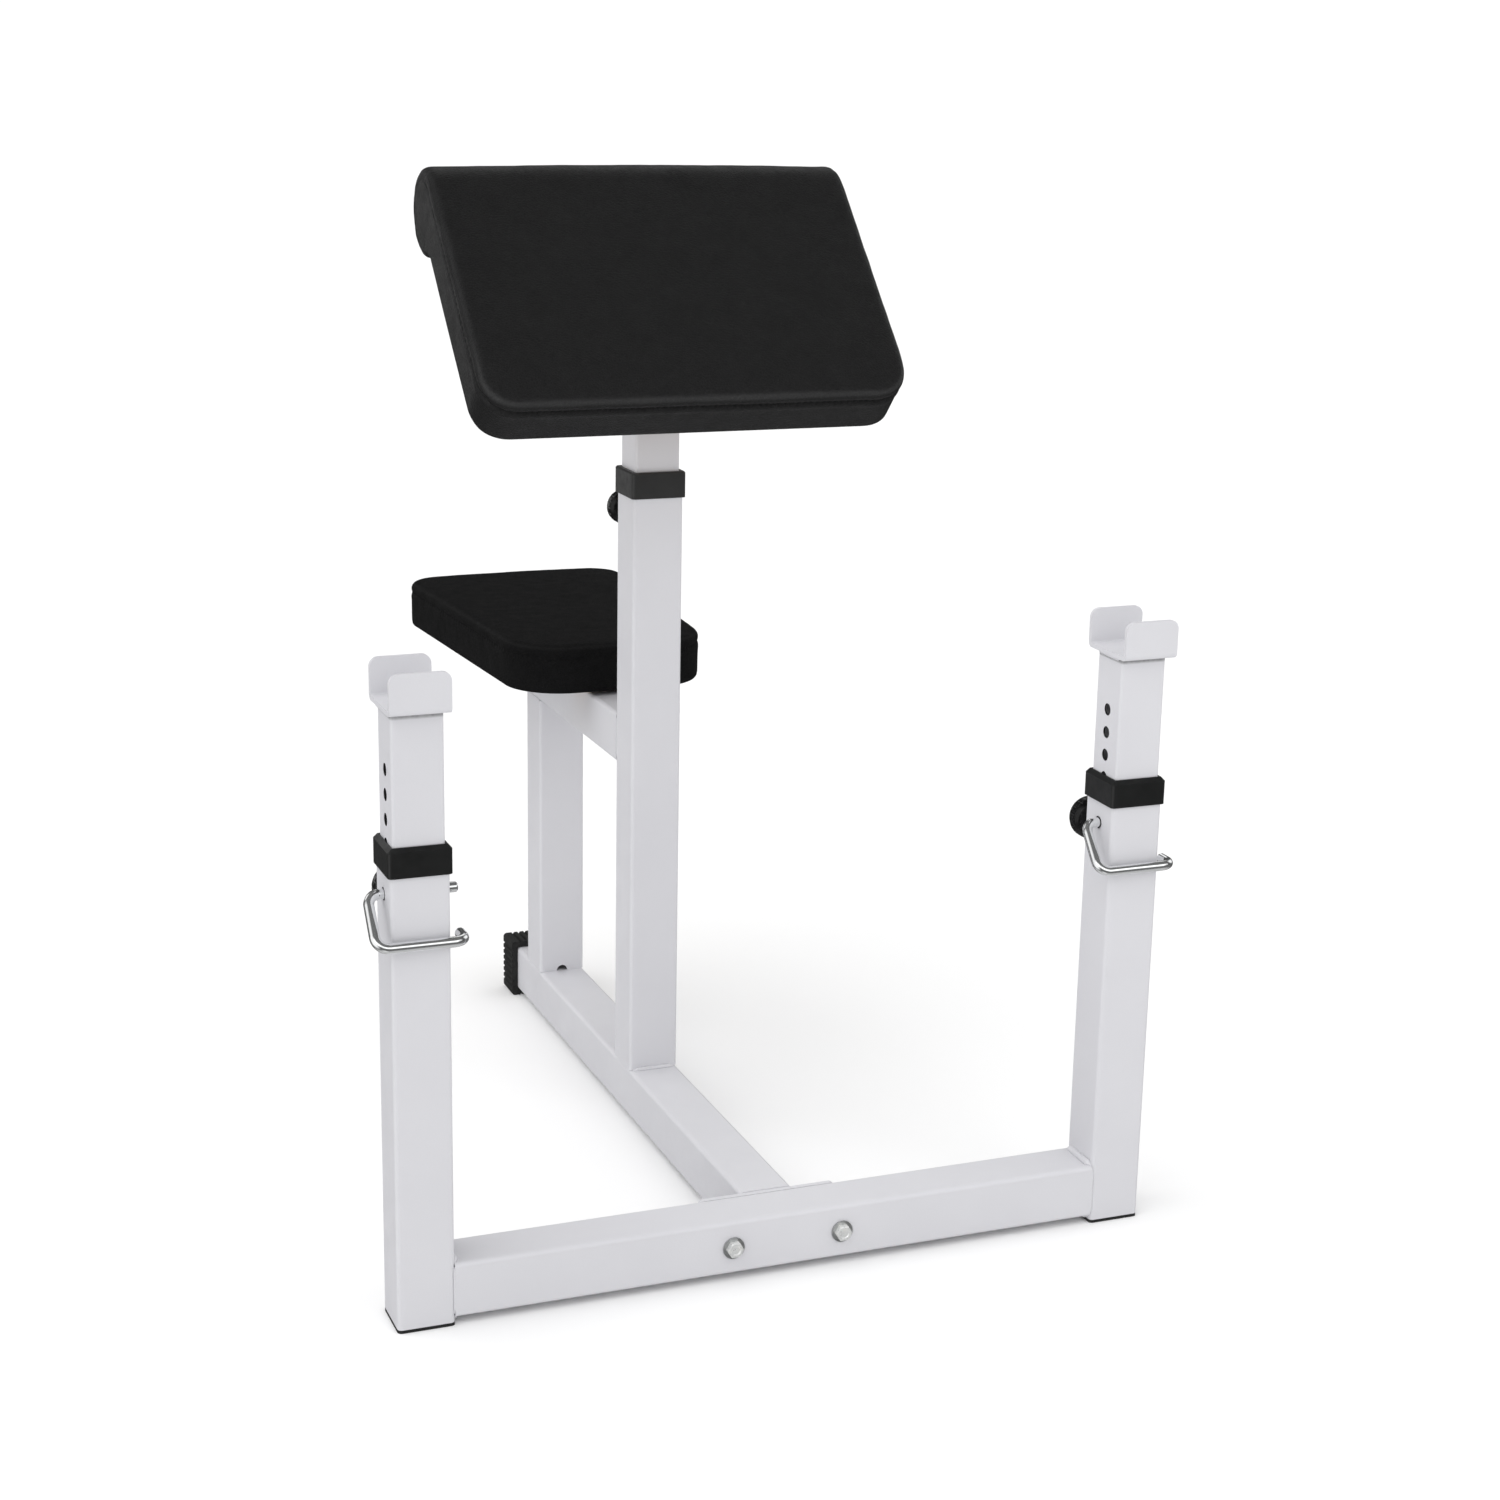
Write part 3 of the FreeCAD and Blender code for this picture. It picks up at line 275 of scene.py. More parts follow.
# the third colour is the stretched edge, paler than the cover and lightened further as a painted highlight
PAD_VINYL = vinyl("pad_vinyl", (0.0070, 0.0070, 0.0072), (0.0026, 0.0026, 0.0028), (0.030, 0.030, 0.0305), 620.0, 0.38, 0.52)
SEAT_VINYL = vinyl("seat_vinyl", (0.0070, 0.0070, 0.0072), (0.0030, 0.0030, 0.0032), (0.0125, 0.0125, 0.0127), 620.0, 0.10, 0.78)
PLASTIC = moulded("collar_plastic", (0.0100, 0.0104, 0.0104), (0.0066, 0.0070, 0.0070), 0.36, 1300.0, 0.45)
# a lighter copy of the collar plastic for the mast's collar: painted light, for the brighter light that collar catches
MAST_COLLAR_LIT = moulded("mast_collar_plastic_lit", (0.0295, 0.0298, 0.0298), (0.0235, 0.0238, 0.0238), 0.40, 1300.0, 0.40)
PLUG = moulded("plug_plastic", (0.014, 0.014, 0.014), (0.009, 0.009, 0.009), 0.55, 900.0)
KNOB = moulded("knob_plastic", (0.0036, 0.0036, 0.0038), (0.0022, 0.0022, 0.0024), 0.22, 1100.0, 0.28)
RUBBER, CHROME, PLY = rubber(), chrome(), plywood()
ZINC = zinc("zinc_plate", 0.45, ((0.74, 0.75, 0.75), (0.86, 0.87, 0.86), (0.92, 0.91, 0.87)))
WASHER = zinc("zinc_washer", 0.85, ((0.42, 0.43, 0.43), (0.53, 0.54, 0.54), (0.60, 0.59, 0.56)))
STAPLE = ZINC

BY_NODE = {
    "left_upright": LEFT_UPRIGHT, "right_upright": RIGHT_UPRIGHT, "left_rest_tube": LEFT_REST, "right_rest_tube": RIGHT_REST, "mast_tube": MAST,
    "lock_pin": CHROME, "pop_pin_plunger": CHROME, "pop_pin_spring": ZINC,
    "bolts": ZINC, "washers": WASHER, "nuts": ZINC, "clamp_stud": ZINC,
    "mast_guide_collar": MAST_COLLAR_LIT, "guide_collar": PLASTIC, "foot_plug": PLUG, "seat_tube_plug": PLUG, "glide": PLUG,
    "rear_foot_cap": RUBBER, "knob": KNOB, "board": PLY,
}
for name, obj in nodes.items():
    chosen = next((m for key, m in BY_NODE.items() if key in name), WHITE)
    if not obj.material_slots:
        obj.data.materials.append(chosen)
    for place in obj.material_slots:
        place.material = chosen


# ---------------------------------------------------------------------------
# Helpers
# ---------------------------------------------------------------------------
def link(obj):
    scene.collection.objects.link(obj)
    return obj


def mesh_object(name, verts, faces, material, smooth=True):
    me = bpy.data.meshes.new(name)
    me.from_pydata([tuple(v) for v in verts], [], faces)
    me.validate()
    me.update()
    me.materials.append(material)
    if smooth:
        me.polygons.foreach_set("use_smooth", [True] * len(me.polygons))
    return link(bpy.data.objects.new(name, me))


def coords(obj):
    me = obj.data
    co = np.zeros(len(me.vertices) * 3)
    me.vertices.foreach_get("co", co)
    return co.reshape(-1, 3)


def set_coords(obj, co):
    obj.data.vertices.foreach_set("co", np.asarray(co, float).reshape(-1))
    obj.data.update()


def normals(obj):
    me = obj.data
    n = np.zeros(len(me.vertices) * 3)
    me.vertices.foreach_get("normal", n)
    return n.reshape(-1, 3)


def only(obj):
    bpy.ops.object.select_all(action="DESELECT")
    obj.select_set(True)
    bpy.context.view_layer.objects.active = obj


def bake_modifiers(obj):
    """The evaluated shape becomes the object's own mesh, with no modifier left."""
    dg = bpy.context.evaluated_depsgraph_get()
    shaped = bpy.data.meshes.new_from_object(obj.evaluated_get(dg))
    old = obj.data
    obj.modifiers.clear()
    obj.data = shaped
    bpy.data.meshes.remove(old)


# ---------------------------------------------------------------------------
# Cushions: a rounded form, swollen as a stuffed cover, with sewn seams
# ---------------------------------------------------------------------------
def smooth_min(a, b, k):
    h = np.clip(0.5 + 0.5 * (b - a) / k, 0, 1)
    return b * (1 - h) + a * h - k * h * (1 - h)


def smooth_step(a, b, x):
    t = np.clip((x - a) / (b - a), 0, 1)
    return t * t * (3 - 2 * t)


def rounded_and(a, b, r):
    """Inside both, with the edge between them rounded to radius r."""
    u, v = a + r, b + r
    return np.minimum(np.maximum(u, v), 0) + np.hypot(np.maximum(u, 0), np.maximum(v, 0)) - r


class PadForm:
    """Arm pad in its own axes: x across, s up the slope, n out of the face, board's back at n = 0."""
    half, low, thick = 0.2060, -0.1585, 0.0565
    roll_s, roll_n, roll_r, corner = 0.0950, 0.0150, 0.0415, 0.0340
    seam_drop = 0.0122
    meet = roll_s - math.sqrt(roll_r ** 2 - roll_n ** 2)      # where the roll leaves the plank's back

    def sheet(self, p):
        """Distance outside the face that runs up the plank and over the roll."""
        s, n = p[:, 1], p[:, 2]
        around = np.hypot(s - self.roll_s, n - self.roll_n) - self.roll_r - self.crown(p)
        return np.where((s < self.roll_s) & (n > 0.0), n - self.face(p), around)

    def crown(self, p):
        """The stuffing stands higher in the middle of the roll than at its ends."""
        across = 1 - np.minimum(np.abs(p[:, 0]) / self.half, 1) ** 2.5
        return 0.0008 + 0.0022 * across * smooth_step(-0.155, 0.02, p[:, 1])

    def face(self, p):
        """Height of the face over the board's back; it falls a little towards its lower edge."""
        return self.thick + self.crown(p) - 0.0042 * (1 - smooth_step(self.low, self.low + 0.050, p[:, 1]))

    def outline(self, p):
        """Distance outside the pad's outline, seen square to its face."""
        qx = np.abs(p[:, 0]) - (self.half - self.corner)
        qs = (self.low + self.corner) - p[:, 1]
        return np.hypot(np.maximum(qx, 0), np.maximum(qs, 0)) + np.minimum(np.maximum(qx, qs), 0) - self.corner

    def field(self, p):
        s, n = p[:, 1], p[:, 2]
        roll = np.hypot(s - self.roll_s, n - self.roll_n) - self.roll_r - self.crown(p)
        top = self.face(p)
        plank = np.maximum(np.maximum(n - top, -n), s - self.roll_s)
        over = np.where(s < self.roll_s, n - top, roll)
        profile = np.where(n > 0.02, over, smooth_min(plank, roll, 0.010))
        near_roll = smooth_step(self.meet - 0.016, self.meet + 0.009, s)
        edge = 0.003 + 0.0042 * np.maximum(smooth_step(0.008, 0.036, n), near_roll)
        return rounded_and(profile, self.outline(p), edge)

    def seam(self, p):
        """Signed distance from the seam between the face and the side band, and how far it is drawn in there."""
        return self.sheet(p) + self.seam_drop, smooth_step(-0.0060, -0.0028, self.outline(p)) * self.pulled(p)

    def pulled(self, p):
        """The cover is drawn tightest over the lower edge, less up the sides and least round the roll's ends."""
        s = p[:, 1]
        return 1 - 0.60 * smooth_step(self.low + 0.015, self.low + 0.075, s) - 0.22 * smooth_step(0.0, 0.07, s)

    def held(self, p):
        """Points that the board and the seam hold."""
        return (p[:, 2] < 0.006) & (p[:, 1] < self.meet - 0.006)

    def base(self):
        pts = []
        for a in np.linspace(90, -180, 40):
            pts.append((self.roll_s + self.roll_r * math.cos(math.radians(a)),
                        self.roll_n + self.roll_r * math.sin(math.radians(a))))
        pts = [q for q in pts if not (q[1] < 0.0 and q[0] < self.meet + 0.0005)]
        outline = [(self.low, 0.0), (self.low, self.thick)] + pts + [(self.meet, 0.0)]
        n = len(outline)
        verts = [(-self.half, s, h) for s, h in outline] + [(self.half, s, h) for s, h in outline]
        faces = [tuple(range(n)), tuple(range(2 * n - 1, n - 1, -1))]
        faces += [(i, i + n, (i + 1) % n + n, (i + 1) % n) for i in range(n)]
        return verts, faces


class SeatForm:
    """Seat in its own axes: x across, y to the rear, z up from the board's underside."""
    thick, seam_drop = 0.0492, 0.0125
    front, rear, front_half, rear_half = 0.050, 0.438, 0.101, 0.125

    def sheet(self, p):
        return p[:, 2] - self.thick

    def polygon(self, inset):
        """The tapered outline drawn in by the corner radius."""
        slope = (self.rear_half - self.front_half) / (self.rear - self.front)
        lean = math.hypot(1, slope)
        a, b = self.front + inset, self.rear - inset
        wa = self.front_half + slope * (a - self.front) - inset * lean
        wb = self.front_half + slope * (b - self.front) - inset * lean
        return a, b, wa, wb

    def rounded_to(self, p, r):
        a, b, wa, wb = self.polygon(r)
        slope = (wb - wa) / (b - a)
        lean = math.hypot(1, slope)
        x, y = np.abs(p[:, 0]), p[:, 1]
        side = (x - (wa + slope * (y - a))) / lean
        t = np.clip(((x - wa) * slope + (y - a)) / (slope * slope + 1), 0, b - a)
        to_side = np.hypot(x - (wa + slope * t), y - (a + t))
        to_front = np.hypot(np.maximum(x - wa, 0), y - a)
        to_rear = np.hypot(np.maximum(x - wb, 0), y - b)
        inside = (side <= 0) & (y >= a) & (y <= b)
        near = np.minimum(np.minimum(to_side, to_front), to_rear)
        return np.where(inside, -np.minimum(np.minimum(-side, y - a), b - y), near) - r

    def outline(self, p):
        return np.where(p[:, 1] < 0.25, self.rounded_to(p, 0.060), self.rounded_to(p, 0.035))

    def field(self, p):
        z = p[:, 2]
        edge = 0.0035 + 0.0050 * smooth_step(0.008, 0.030, z)
        return rounded_and(np.maximum(self.sheet(p), -z), self.outline(p), edge)

    def seam(self, p):
        return self.sheet(p) + self.seam_drop, smooth_step(-0.0060, -0.0028, self.outline(p))

    def pulled(self, p):
        return np.ones(len(p))

    def held(self, p):
        return p[:, 2] < 0.005

    def base(self):
        verts = []
        for z in (0.0, self.thick):
            verts += [(-self.front_half, self.front, z), (self.front_half, self.front, z),
                      (self.rear_half, self.rear, z), (-self.rear_half, self.rear, z)]
        faces = [(3, 2, 1, 0), (4, 5, 6, 7)] + [(i, (i + 1) % 4, (i + 1) % 4 + 4, i + 4) for i in range(4)]
        return verts, faces


def settle(form, p, inset, rounds=14):
    """Move points onto the form, drawn in by inset."""
    p = p.copy()
    h = 1e-5
    for _ in range(rounds):
        f = form.field(p) + inset
        g = np.stack([(form.field(p + h * e) - form.field(p - h * e)) / (2 * h) for e in np.eye(3)], 1)
        g /= np.maximum(np.linalg.norm(g, axis=1, keepdims=True), 1e-6)
        p -= np.clip(f, -0.004, 0.004)[:, None] * g * 0.8
    return p


def swell(obj, hold, pressure, cap, stiffness):
    """Blow the cover up a little between the places that hold it, as stuffing does."""
    before = coords(obj)
    group = obj.vertex_groups.new(name="hold")
    for value in np.unique(np.round(hold, 2)):
        if value > 0:
            group.add([int(i) for i in np.flatnonzero(np.round(hold, 2) == value)], float(value), "REPLACE")
    cloth = obj.modifiers.new("cover", "CLOTH")
    c = cloth.settings
    c.quality = 6
    c.mass = 0.4
    c.tension_stiffness = c.compression_stiffness = stiffness
    c.shear_stiffness = stiffness * 0.5
    c.bending_stiffness = 1.2
    c.tension_damping = c.compression_damping = 15
    c.air_damping = 4
    c.use_pressure = True
    c.uniform_pressure_force = pressure
    c.vertex_group_mass = "hold"
    c.pin_stiffness = 1.0
    c.effector_weights.gravity = 0
    cloth.collision_settings.use_collision = False
    cloth.point_cache.frame_start, cloth.point_cache.frame_end = 1, 20
    for f in range(1, 21):
        scene.frame_set(f)
    dg = bpy.context.evaluated_depsgraph_get()
    after = np.zeros(len(before) * 3)
    obj.evaluated_get(dg).data.vertices.foreach_get("co", after)
    after = after.reshape(-1, 3)
    scene.frame_set(1)
    obj.modifiers.clear()
    obj.vertex_groups.clear()
    out = normals(obj)
    rise = ((after - before) * out).sum(1)
    # a firm filling evens the rise out between the held lines
    ends = np.zeros(len(obj.data.edges) * 2, int)
    obj.data.edges.foreach_get("vertices", ends)
    a, b = ends.reshape(-1, 2).T
    count = np.bincount(a, minlength=len(rise)) + np.bincount(b, minlength=len(rise))
    free = 1.0 - hold
    rise = np.maximum(rise, -0.0006) * free
    for _ in range(40):
        near = np.bincount(a, rise[b], len(rise)) + np.bincount(b, rise[a], len(rise))
        rise = (0.4 * rise + 0.6 * near / np.maximum(count, 1)) * (1 - 0.12 * hold)
    rise = cap * np.tanh(rise / cap)
    set_coords(obj, before + out * rise[:, None])
    return float(rise.max())


def cushion(name, form, material, place, voxel, inset, pressure, cap, groove):
    verts, faces = form.base()
    obj = mesh_object(name, verts, faces, material)
    bm = bmesh.new()
    bm.from_mesh(obj.data)
    bmesh.ops.recalc_face_normals(bm, faces=bm.faces)
    bm.to_mesh(obj.data)
    bm.free()
    remesh = obj.modifiers.new("even", "REMESH")
    remesh.mode, remesh.voxel_size = "VOXEL", voxel
    bake_modifiers(obj)
    set_coords(obj, settle(form, coords(obj), inset))
    # even out the points, then bring them back onto the form
    for _ in range(2):
        relax = obj.modifiers.new("relax", "SMOOTH")
        relax.factor, relax.iterations = 0.5, 4
        bake_modifiers(obj)
        set_coords(obj, settle(form, coords(obj), inset, 6))
    p = coords(obj)
    d, band = form.seam(p)
    hold = np.maximum(np.exp(-(d / 0.006) ** 2) * band, form.held(p).astype(float))
    print(name, "swelled by at most %.4f m" % swell(obj, np.clip(hold, 0, 1), pressure, cap, 18.0))
    only(obj)
    fine = obj.modifiers.new("fine", "SUBSURF")
    fine.levels = fine.render_levels = 1
    bake_modifiers(obj)
    # closer points along the seam
    for reach in (0.0095, 0.0060):
        bm = bmesh.new()
        bm.from_mesh(obj.data)
        bm.verts.ensure_lookup_table()
        p = np.array([v.co[:] for v in bm.verts])
        d, band = form.seam(p)
        close = (np.abs(d) < reach) & (band > 0.02)
        chosen = [e for e in bm.edges if close[e.verts[0].index] and close[e.verts[1].index]]
        bmesh.ops.subdivide_edges(bm, edges=chosen, cuts=1, use_grid_fill=True, smooth=0.0)
        bm.to_mesh(obj.data)
        bm.free()
    p = coords(obj)
    out = normals(obj)
    d, band = form.seam(p)
    # the stitches pull the cover in at even steps, and it stands up again on both sides
    run = p[:, 0] + p[:, 1] * 0.9
    pull = 1.0 + 0.22 * np.sin(2 * math.pi * run / 0.0062)
    dip = -groove * pull * np.exp(-(d / 0.0019) ** 2)
    rim = groove * 0.30 * np.exp(-((np.abs(d) - 0.0056) / 0.0024) ** 2)
    # small slow unevenness of foam under the cover
    lump = np.array([noise.fractal(Vector(q) * 17.0, 1.0, 2.0, 3) for q in p]) * 0.00035
    pucker = np.array([noise.noise(Vector((q[0] * 60, q[1] * 60, q[2] * 60))) for q in p])
    pucker *= 0.00045 * np.exp(-(np.abs(d) / 0.014) ** 2) * (np.abs(d) > 0.0015)
    free = ~form.held(p)
    p += out * ((dip + rim) * band + (lump + pucker) * free)[:, None]
    # the cover is stretched along the edge of the face; this mask paints the paler stretched vinyl there together with
    # a painted highlight, strongest along the lower edge
    from_edge = np.maximum(np.abs(form.sheet(p) + 0.0021), np.abs(form.outline(p) + 0.0021))
    stretch_highlight = obj.data.attributes.new("stretch_highlight", "FLOAT", "POINT")
    stretch_highlight.data.foreach_set("value", ((1 - smooth_step(0.0004, 0.0036, from_edge)) * form.pulled(p)).astype(np.float32))
    set_coords(obj, p)
    obj.data.polygons.foreach_set("use_smooth", [True] * len(obj.data.polygons))
    obj.data.transform(place)
    obj.data.update()
    if not obj.data.materials:
        obj.data.materials.append(material)
    print(name, len(obj.data.polygons), "faces")
    return obj


PAD_PLACE = Matrix.Translation((0, -0.042, 0.823)) @ Matrix.Rotation(math.radians(45), 4, "X")
SEAT_PLACE = Matrix.Translation((0, 0, 0.422))

pad = cushion("arm_pad", PadForm(), PAD_VINYL, PAD_PLACE, 0.0048, 0.0005, 3.5, 0.0014, 0.0022)
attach(pad, "pad_mast")
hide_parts("pad_cushion")

seat = cushion("seat_pad", SeatForm(), SEAT_VINYL, SEAT_PLACE, 0.0047, 0.0008, 3.5, 0.0016, 0.0009)
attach(seat, "frame")
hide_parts("seat_cushion")


# ---------------------------------------------------------------------------
# Cover's turned-in edge, stapled to the back of each board
# ---------------------------------------------------------------------------
def rounded_loop(half_x, low, high, r_low, r_high, steps=10):
    pts = []
    for cx, cy, r, a0 in ((half_x - r_high, high - r_high, r_high, 0), (-half_x + r_high, high - r_high, r_high, 90),
                          (-half_x + r_low, low + r_low, r_low, 180), (half_x - r_low, low + r_low, r_low, 270)):
        for k in range(steps + 1):
            a = math.radians(a0 + 90 * k / steps)
            pts.append((cx + r * math.cos(a), cy + r * math.sin(a)))
    return pts


def dense(loop, step):
    out = []
    for a, b in zip(loop, loop[1:] + loop[:1]):
        n = max(1, int(math.dist(a, b) / step))
        out += [(a[0] + (b[0] - a[0]) * k / n, a[1] + (b[1] - a[1]) * k / n) for k in range(n)]
    return out


def along(loop):
    """Unit inward direction at each point of a loop that runs anticlockwise."""
    res, n = [], len(loop)
    for i in range(n):
        a, b = Vector(loop[i - 1]), Vector(loop[(i + 1) % n])
        t = (b - a).normalized()
        res.append((-t.y, t.x))
    return res


def hem(name, loop, width, material, place, lift):
    """A flat border of cover material: gathered slightly, with a cut inner edge."""
    loop = dense(loop, 0.004)
    inward = along(loop)
    n = len(loop)
    rows = [(-0.0030, -0.0040), (-0.0032, -0.0016), (-0.0018, 0.0003), (0.0006, 0.0009),
            (0.30, 0.0011), (0.65, 0.0012), (1.0, 0.0011), (1.0, 0.0001)]
    verts = []
    for j, (k, h) in enumerate(rows):
        for i, ((x, y), (ix, iy)) in enumerate(zip(loop, inward)):
            w = width * (1 + 0.10 * noise.noise(Vector((x * 35, y * 35, 2.0))))
            reach = k if j < 4 else k * w
            gather = 0.0004 * noise.noise(Vector((x * 120, y * 120, 5.0 + j))) if 3 < j < 7 else 0.0
            verts.append((x + ix * reach, y + iy * reach, lift * (h + gather)))
    faces = []
    for j in range(len(rows)):
        m = (j + 1) % len(rows)
        for i in range(n):
            q = (j * n + i, j * n + (i + 1) % n, m * n + (i + 1) % n, m * n + i)
            faces.append(q if lift > 0 else q[::-1])
    obj = mesh_object(name, verts, faces, material)
    obj.data.transform(place)
    return obj


def staples(name, loop, inset, pitch, place, lift):
    """Round-wire crowns pressed into the border, at uneven angles."""
    loop = dense(loop, 0.002)
    inward = along(loop)
    verts, faces = [], []
    step = int(pitch / 0.002)
    for k, i in enumerate(range(step // 2, len(loop) - step // 2, step)):
        (x, y), (ix, iy) = loop[i], inward[i]
        turn = 0.5 * noise.noise(Vector((k * 1.7, 3.1, 0.4)))
        tx, ty = -iy, ix
        dx, dy = tx * math.cos(turn) - ty * math.sin(turn), tx * math.sin(turn) + ty * math.cos(turn)
        cx, cy = x + ix * inset, y + iy * inset
        first, ring = len(verts), 8
        path = [(-0.0055, 0.0006), (-0.0052, 0.00155), (-0.0044, 0.0019), (0.0, 0.0019), (0.0044, 0.0019), (0.0052, 0.00155), (0.0055, 0.0006)]
        for along_, h in path:
            for a in range(ring):
                c, s = math.cos(2 * math.pi * a / ring) * 0.0006, math.sin(2 * math.pi * a / ring) * 0.00045
                verts.append((cx + dx * along_ - dy * c, cy + dy * along_ + dx * c, lift * (h + s)))
        for j in range(len(path) - 1):
            for a in range(ring):
                q = (first + j * ring + a, first + j * ring + (a + 1) % ring,
                     first + (j + 1) * ring + (a + 1) % ring, first + (j + 1) * ring + a)
                faces.append(q if lift > 0 else q[::-1])
        last = first + (len(path) - 1) * ring
        for q in (tuple(range(first + ring - 1, first - 1, -1)), tuple(range(last, last + ring))):
            faces.append(q if lift > 0 else q[::-1])
    obj = mesh_object(name, verts, faces, STAPLE)
    obj.data.transform(place)
    return obj


pad_loop = rounded_loop(0.1990, -0.1520, 0.0465, 0.0285, 0.0030)
pad_hem = hem("arm_pad_hem", pad_loop, 0.024, PAD_VINYL, PAD_PLACE, -1.0)
pad_staples = staples("arm_pad_staples", pad_loop, 0.018, 0.034, PAD_PLACE, -1.0)
for piece, slot in ((pad_hem, "black_vinyl"), (pad_staples, "zinc_steel")):
    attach(piece, "pad_mast")


def seat_loop(inset):
    f = SeatForm()
    pts = []
    for r, front in ((0.060, True), (0.035, False)):
        a, b, wa, wb = f.polygon(r)
        r -= inset
        slope = math.degrees(math.atan2(wb - wa, b - a))
        if front:
            for k in range(15):
                t = math.radians(180 + slope * 0 + (90) * k / 14)
                pts.append((-wa + r * math.cos(t), a + r * math.sin(t)))
            for k in range(15):
                t = math.radians(270 + (90) * k / 14)
                pts.append((wa + r * math.cos(t), a + r * math.sin(t)))
        else:
            for k in range(15):
                t = math.radians(0 + 90 * k / 14)
                pts.append((wb + r * math.cos(t), b + r * math.sin(t)))
            for k in range(15):
                t = math.radians(90 + 90 * k / 14)
                pts.append((-wb + r * math.cos(t), b + r * math.sin(t)))
    return pts


seat_rim = seat_loop(0.0045)
seat_hem = hem("seat_hem", seat_rim, 0.022, SEAT_VINYL, SEAT_PLACE, -1.0)
seat_staples = staples("seat_staples", seat_rim, 0.016, 0.032, SEAT_PLACE, -1.0)
for piece, slot in ((seat_hem, "black_vinyl"), (seat_staples, "zinc_steel")):
    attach(piece, "frame")


# ---------------------------------------------------------------------------
# Plunger's spring
# ---------------------------------------------------------------------------
def coil(name, centre, low, high, radius, wire, turns, dead, material):
    """Compression spring along Y from low to high, with closed turns at both ends."""
    around, sides = 44, 10
    t = np.linspace(0.0, turns, int(around * turns) + 1)
    opened = smooth_step(dead * 0.6, dead * 1.3, np.minimum(t, turns - t))
    step = t[1] - t[0]
    closed_pitch, length = wire * 2.12, high - low - 2 * wire
    open_pitch = closed_pitch + (length - closed_pitch * turns) / (opened[:-1].sum() * step)
    rise = np.concatenate([[0.0], np.cumsum((closed_pitch + (open_pitch - closed_pitch) * opened[:-1]) * step)])
    verts, faces = [], []
    for a, y in zip(t * 2 * math.pi, low + wire + rise):
        for k in range(sides):
            b = 2 * math.pi * k / sides
            r = radius + wire * math.cos(b)
            verts.append((centre[0] + r * math.cos(a), y + wire * math.sin(b), centre[1] + r * math.sin(a)))
    n = len(t)
    for i in range(n - 1):
        for k in range(sides):
            k2 = (k + 1) % sides
            faces.append((i * sides + k, i * sides + k2, (i + 1) * sides + k2, (i + 1) * sides + k))
    faces.append(tuple(reversed(range(sides))))
    faces.append(tuple((n - 1) * sides + k for k in range(sides)))
    obj = mesh_object(name, verts, faces, material)
    bm = bmesh.new()
    bm.from_mesh(obj.data)
    bmesh.ops.recalc_face_normals(bm, faces=bm.faces)
    bm.to_mesh(obj.data)
    bm.free()
    return obj


SPRING_LOW, SPRING_HIGH, PULL = -0.01185, 0.00885, 0.010
spring = coil("plunger_spring", (0.0, 0.613), SPRING_LOW, SPRING_HIGH, 0.0056, 0.0008, 6.0, 0.8, ZINC)
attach(spring, "frame")
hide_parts("pop_pin_spring")
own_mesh(spring)

